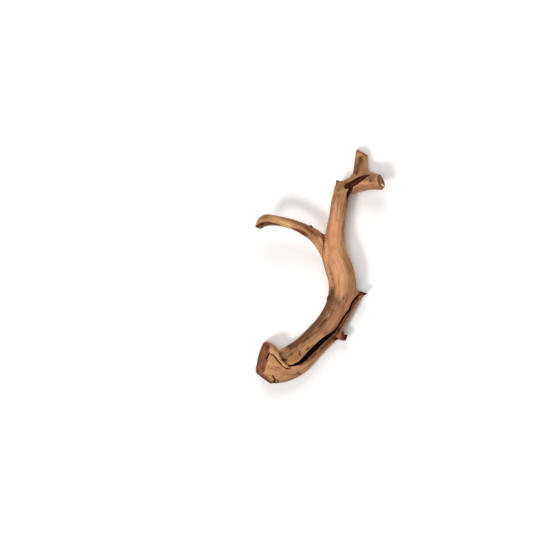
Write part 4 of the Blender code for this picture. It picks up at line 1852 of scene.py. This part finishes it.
def wear_and_shade_group() -> Group:
    """Where handling and sand have rubbed the crests, and where painted shade darkens the creases.

    Returns:
        Crest and Crease, steps of the bulge made uneven by noise; and Pits, the middles of a
        few scattered cells.
    """
    group = Group("wear_and_shade", {"Place": "vector", "Bulge": "value"}, ("Crest", "Crease", "Pits"))
    bench, place = group.bench, group.given["Place"]
    uneven = bench.math("SUBTRACT", bench.noise(place, (5.0, 5.0, 5.0), 3.0), 0.5)
    bulge = bench.math("MULTIPLY_ADD", uneven, 0.35, group.given["Bulge"])
    cells = bench.scaled(place, (0.19, 0.19, 0.19))
    middle = bench.add("TexVoronoi", {"Vector": cells, "Scale": 1.0}, out="Distance")
    pick = bench.add("SeparateColor", {0: middle.node.outputs["Color"]})
    few = bench.step(pick, 0.72, 0.78)
    group.give(
        crest=bench.step(bulge, 0.22, 0.62),
        # Painted shade: creases are darkened by how far they sink below their surroundings
        crease=bench.step(bulge, -0.06, -0.50),
        pits=bench.math("MULTIPLY", few, bench.step(middle, 0.13, 0.07)),
    )
    return group


@dataclass(frozen=True)
class WeatheredWood:
    """Driftwood's finish: its colours as they show on screen, its shine and its ring spacing.

    The ramp is a colour for each share of the tone. Each table of parts says by what factor each
    mask goes into a sum.
    """

    ramp: tuple = (
        (0.18, (158, 106, 72)), (0.42, (194, 138, 97)), (0.62, (210, 154, 111)), (0.88, (224, 176, 132)),
    )
    reddish: tuple = (192, 122, 88)
    golden: tuple = (204, 156, 98)
    red_heart: tuple = (132, 66, 44)
    # Pale wood, and the painted highlight on the side branch's crest
    bleached_and_highlight: tuple = (246, 202, 130)
    fresh: tuple = (255, 234, 168)
    rosy: tuple = (238, 170, 124)
    olive: tuple = (168, 126, 80)
    # The hollows' dark wood, which partly paints their shade, its lighter streaks, and pitch, a near-black
    # painted shadow where they are deepest
    hollow: tuple = (60, 24, 11)
    hollow_light: tuple = (104, 58, 42)
    pitch: tuple = (24, 10, 6)
    crack: tuple = (56, 29, 18)
    cut_dark: tuple = (94, 46, 30)
    cut_light: tuple = (186, 116, 76)
    rubbed: tuple = (222, 160, 108)
    # The dark tint that stains are multiplied by, which also paints the shade in the creases and on the
    # flanks
    shade: tuple = (0.24, 0.195, 0.165, 1.0)
    rubbing: float = 0.30
    gloss: float = 0.10
    roughness: float = 0.54
    most_rough: float = 0.95
    ring: float = 1.7
    wander: float = 5.0
    tone_parts: tuple = (("Bands", 0.45), ("Streaks", 0.33), ("Fibres", 0.22))
    end_tone_parts: tuple = (("Rings", 0.65), ("Rays", 0.35))
    patchy_parts: tuple = (("Streaks", -0.26), ("Clouds", -0.38))
    rough_parts: tuple = (("Streaks", 0.12), (Tone.HOLLOW, 0.22), ("Sawn", 0.18), ("Crest", -0.10))
    height_parts: tuple = (("Streaks", 0.14), ("Fibres", 0.07), ("Checks", -0.35), ("Pits", -0.30))
    end_height_parts: tuple = (("Rasp", 0.50), ("Rings", 0.12), ("Rays", 0.20))

    def material(self, groups: dict) -> bpy.types.Material:
        """Builds the material.

        Args:
            groups: The node groups "grain", "ends" and "wear".

        Returns:
            The material, which reads the corners' places along the grain, marks and bulge.
        """
        material = bpy.data.materials.new("weathered wood")
        material.use_nodes = True
        tree = material.node_tree
        bench = Bench(tree)
        shader = tree.nodes["Principled BSDF"]
        shader.inputs["Specular IOR Level"].default_value = self.gloss
        place = bench.scaled(bench.add("TexCoord", {}, out="Object"), (1.0 / MM,) * 3)
        masks = self.masks(bench, place, groups)
        tree.links.new(self.colour(bench, place, masks), shader.inputs["Base Color"])
        tree.links.new(self.dullness(bench, masks), shader.inputs["Roughness"])
        tree.links.new(self.relief(bench, masks), shader.inputs["Normal"])
        return material

    def read(self, bench: Bench, name: str, out: str = "Fac") -> object:
        """One of the mesh's own values."""
        return bench.add("Attribute", {}, out=out, attribute_name=name)

    def masks(self, bench: Bench, place: object, groups: dict) -> dict:
        """All that the colour, the dullness and the relief are made of.

        Args:
            bench: Where the nodes are laid.
            place: The place on the piece, in millimetres.
            groups: The node groups "grain", "ends" and "wear".

        Returns:
            The figure's masks by name, mixed of the main stem's and the other limbs' by their
            share; the masks of rubbed crests, painted crease shade and pits; the marks' by tone; the
            sawn ends'; and two of noise.
        """
        masks = {tone: self.read(bench, tone.value) for tone in Tone}
        share = self.read(bench, "limb_share")
        grains = [self.read(bench, name, "Vector") for name in ("stem_grain", "limb_grain")]
        for name, labels, size in (("grain", ("Bands", "Streaks", "Fibres", "Checks"),
                                    {"wander": self.wander}),
                                   ("ends", ("Rings", "Rays"), {"ring": self.ring})):
            nodes = [groups[name].placed(bench, place=grain, **size) for grain in grains]
            masks |= {label: bench.between(share, *(node.outputs[label] for node in nodes))
                      for label in labels}
        # Rubbed crests, creases darkened as painted shade, and pits
        worn = groups["wear_and_shade"].placed(bench, place=place, bulge=self.read(bench, "bulge"))
        masks |= {label: worn.outputs[label] for label in ("Crest", "Crease", "Pits")}
        masks["Sawn"] = self.read(bench, "sawn")
        masks["Clouds"] = bench.step(bench.noise(place, (8.0, 8.0, 8.0), 3.0), 0.32, 0.68)
        masks["Rasp"] = bench.noise(place, (0.9, 0.9, 0.9), 3.0)
        return masks

    def sound_wood(self, bench: Bench, masks: dict) -> object:
        """The colour of unmarked wood: the ramp, read by the bands, streaks and fibres."""
        tone = bench.total(0.0, masks, self.tone_parts)
        ramp = bench.add("ValToRGB", {0: tone}, out="Color").node
        stops = ramp.color_ramp.elements
        for order, (at, shown) in enumerate(self.ramp):
            stop = stops[order] if order < 2 else stops.new(at)
            stop.position = at
            stop.color = seen(*shown)
        return ramp.outputs["Color"]

    def cut_wood(self, bench: Bench, place: object, masks: dict) -> object:
        """The colour of the sawn ends: rings and rays, nearly half hidden by blotches."""
        figure = bench.total(0.0, masks, self.end_tone_parts)
        blotch = bench.step(bench.noise(place, (6.5, 6.5, 6.5), 3.0), 0.40, 0.60)
        figure = bench.between(0.45, figure, blotch)
        return bench.blend(figure, seen(*self.cut_dark), seen(*self.cut_light))

    def hollow_floor(self, bench: Bench, masks: dict) -> object:
        """The colour in the hollows, partly painted shade: dark wood with lighter streaks, and
        near-black painted shadow where deepest.
        """
        lit = bench.product(masks["Clouds"], bench.product(masks["Streaks"], 0.8))
        floor = bench.blend(lit, seen(*self.hollow), seen(*self.hollow_light))
        return bench.blend(bench.step(masks[Tone.HOLLOW], 0.86, 1.0), floor, seen(*self.pitch))

    def colour(self, bench: Bench, place: object, masks: dict) -> object:
        """The wood's colour.

        Args:
            bench: Where the nodes are laid.
            place: The place on the piece, in millimetres.
            masks: The masks by name or tone.

        Returns:
            The colour. Sound wood is tinted in broad patches, then the sawn ends, the rubbed
            crests, the rosy and olive places, the blushes, the stains with their painted shade, the pale
            places with the branch's painted highlight, the painted shade of the creases, the cracks, the
            hollows with their painted shade and the chips are laid over it in turn.
        """
        drift = bench.noise(place, (34.0, 34.0, 34.0), 2.0)
        rubbing = bench.total(self.rubbing, masks, (("Sawn", 0.5),))
        rosy = bench.total(0.6, masks, (("Streaks", 0.5),))
        olive = bench.total(1.0, masks, (("Streaks", -0.4),))
        patchy = bench.total(1.30, masks, self.patchy_parts)
        depth = bench.total(1.30, masks, (("Fibres", -0.16),))
        cracks = bench.math("MAXIMUM", masks["Pits"], masks["Checks"])
        layers = (
            (bench.product(bench.step(drift, 0.50, 0.70), 0.45), seen(*self.reddish)),
            (bench.product(bench.step(drift, 0.50, 0.32), 0.40), seen(*self.golden)),
            (masks["Sawn"], self.cut_wood(bench, place, masks)),
            (bench.product(masks["Crest"], rubbing), seen(*self.rubbed)),
            (bench.product(masks[Tone.ROSY], rosy), seen(*self.rosy)),
            (bench.product(masks[Tone.OLIVE], olive), seen(*self.olive)),
            (bench.product(masks[Tone.BLUSH], 0.92), seen(*self.red_heart)),
            # Stains, and painted shade on the flanks, the lower trunk, the stem's foot, the cleft's slope
            # and the crotch
            (bench.product(masks[Tone.STAIN_AND_SHADE], patchy), self.shade),
            # Pale wood, and the painted highlight along the side branch's crest
            (masks[Tone.PALE], seen(*self.bleached_and_highlight)),
            # Painted shade in the creases
            (bench.product(masks["Crease"], 0.55), self.shade),
            (bench.product(cracks, 0.85), seen(*self.crack)),
            # The hollows' dark wood and painted shade, with near-black painted shadow where deepest
            (bench.product(masks[Tone.HOLLOW], depth), self.hollow_floor(bench, masks)),
            (bench.math("MINIMUM", masks[Tone.CHIP], 1.0), seen(*self.fresh)),
        )
        colour = self.sound_wood(bench, masks)
        for share, tint in layers:
            kind = "MULTIPLY" if tint is self.shade else "MIX"
            colour = bench.blend(share, colour, tint, kind=kind)
        return colour

    def dullness(self, bench: Bench, masks: dict) -> object:
        """Roughness: more in streaks, hollows and cut ends, less where the crests are rubbed."""
        return bench.math("MINIMUM", bench.total(self.roughness, masks, self.rough_parts),
                          self.most_rough)

    def relief(self, bench: Bench, masks: dict) -> object:
        """The bump of fibres, cracks, pits and end grain, with its heights in millimetres."""
        height = bench.between(masks["Sawn"], bench.total(0.0, masks, self.height_parts),
                               bench.total(0.0, masks, self.end_height_parts))
        return bench.add("Bump", {"Height": height, "Distance": MM, "Strength": 1.0},
                         out="Normal")


@dataclass(frozen=True)
class Lamp:
    """A soft lamp: the way it comes from, its height in degrees, and how bright it makes paper."""

    name: str
    azimuth: float
    elevation: float
    softness: float
    brightness: float
    tint: tuple = (1.0, 1.0, 1.0)
    distance: float = 3.0

    def hang(self) -> bpy.types.Object:
        """Hangs the lamp as a far, wide source.

        Returns:
            The lamp. Its strength is pi times the brightness over the sine of its height, which
            is what a level white sheet needs.
        """
        light = bpy.data.lights.new(self.name, "SUN")
        light.energy = self.brightness * math.pi / math.sin(math.radians(self.elevation))
        light.angle = math.radians(self.softness)
        light.color = self.tint
        lamp = bpy.data.objects.new(self.name, light)
        turn, rise = math.radians(self.azimuth), math.radians(self.elevation)
        towards = Vector((math.cos(turn) * math.cos(rise), math.sin(turn) * math.cos(rise),
                          math.sin(rise)))
        lamp.location = towards * self.distance
        lamp.rotation_euler = towards.to_track_quat("Z", "Y").to_euler()
        bpy.context.scene.collection.objects.link(lamp)
        return lamp


@dataclass(frozen=True)
class Studio:
    """A pale floor, soft lamps and a long lens that looks straight down."""

    floor_half: float = 12.0
    floor_colour: tuple = (0.92, 0.92, 0.92, 1.0)
    lamps: tuple = (
        Lamp("key lamp", 222.0, 55.0, 12.0, 0.38, (1.0, 0.99, 0.97)),
        Lamp("high lamp", 190.0, 80.0, 26.0, 0.32, (1.0, 0.985, 0.965)),
        Lamp("second lamp", 100.0, 50.0, 26.0, 0.24, (1.0, 0.99, 0.975)),
    )
    ambient: float = 0.22
    backdrop: float = 1.05
    lens: float = 200.0
    sensor: float = 36.0
    far: float = 60.0
    view_side: float = 0.6929
    view_middle: tuple = (-0.0698, 0.0003, 0.027)

    def lay_floor(self) -> bpy.types.Object:
        """Lays the floor as one level square whose top is at the wood's foot."""
        half = self.floor_half
        mesh = bpy.data.meshes.new("floor")
        mesh.from_pydata([(-half, -half, 0), (half, -half, 0), (half, half, 0), (-half, half, 0)],
                         [], [(0, 1, 2, 3)])
        floor = bpy.data.objects.new("floor", mesh)
        bpy.context.scene.collection.objects.link(floor)
        paper = bpy.data.materials.new("pale floor")
        paper.use_nodes = True
        shader = paper.node_tree.nodes["Principled BSDF"]
        shader.inputs["Base Color"].default_value = self.floor_colour
        shader.inputs["Roughness"].default_value = 1.0
        shader.inputs["Specular IOR Level"].default_value = 0.0
        mesh.materials.append(paper)
        return floor

    def light(self) -> None:
        """Hangs the lamps and sets the pale world, which the camera sees brighter than it lights."""
        for lamp in self.lamps:
            lamp.hang()
        world = bpy.data.worlds.new("studio")
        world.use_nodes = True
        bench = Bench(world.node_tree)
        camera_ray = bench.add("LightPath", {}, out="Is Camera Ray")
        strength = bench.between(camera_ray, self.ambient, self.backdrop)
        world.node_tree.links.new(strength, world.node_tree.nodes["Background"].inputs["Strength"])
        world.node_tree.nodes["Background"].inputs["Color"].default_value = (1.0, 1.0, 1.0, 1.0)
        bpy.context.scene.world = world
        bpy.context.scene.view_settings.view_transform = "Standard"

    def set_camera(self) -> bpy.types.Object:
        """Sets the camera straight above, so far up that the lens takes in the stated side."""
        camera = bpy.data.cameras.new("camera")
        camera.lens = self.lens
        camera.sensor_width = self.sensor
        camera.clip_end = self.far
        body = bpy.data.objects.new("camera", camera)
        distance = self.view_side * self.lens / self.sensor
        body.location = Vector(self.view_middle) + Vector((0.0, 0.0, distance))
        bpy.context.scene.collection.objects.link(body)
        bpy.context.scene.camera = body
        return body


def dress(wood: Driftwood) -> bpy.types.Object:
    """The wood as a finished piece.

    Args:
        wood: The wood's limbs, cuts and marks.

    Returns:
        The piece, with its grain, marks and bulge on its corners and its material on it.
    """
    plain = wood.skin()
    grain = wood.grain(plain.corners)
    skin = wood.weathered(plain, grain)
    piece = mesh_of("manzanita_driftwood", skin)
    attach(piece, "stem_grain", grain.stem)
    attach(piece, "limb_grain", grain.limb)
    attach(piece, "limb_share", grain.limb_share)
    attach(piece, "sawn", wood.sawn(skin, Cut.SAWN))
    attach(piece, "bulge", wood.bulge(skin))
    for tone in Tone:
        attach(piece, tone.value, wood.marked(skin, tone))
    groups = {"grain": long_grain_group(), "ends": end_grain_group(), "wear_and_shade": wear_and_shade_group()}
    piece.data.materials.append(WeatheredWood().material(groups))
    return piece


def main() -> None:
    logging.basicConfig(level=logging.INFO, format="%(message)s")
    studio = Studio()
    studio.set_camera()
    studio.light()
    studio.lay_floor()
    piece = dress(gather())
    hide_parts("driftwood")
    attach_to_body(piece, "root")
    log.info("%s: %d faces", piece.name, len(piece.data.polygons))


if __name__ == "__main__":
    main()
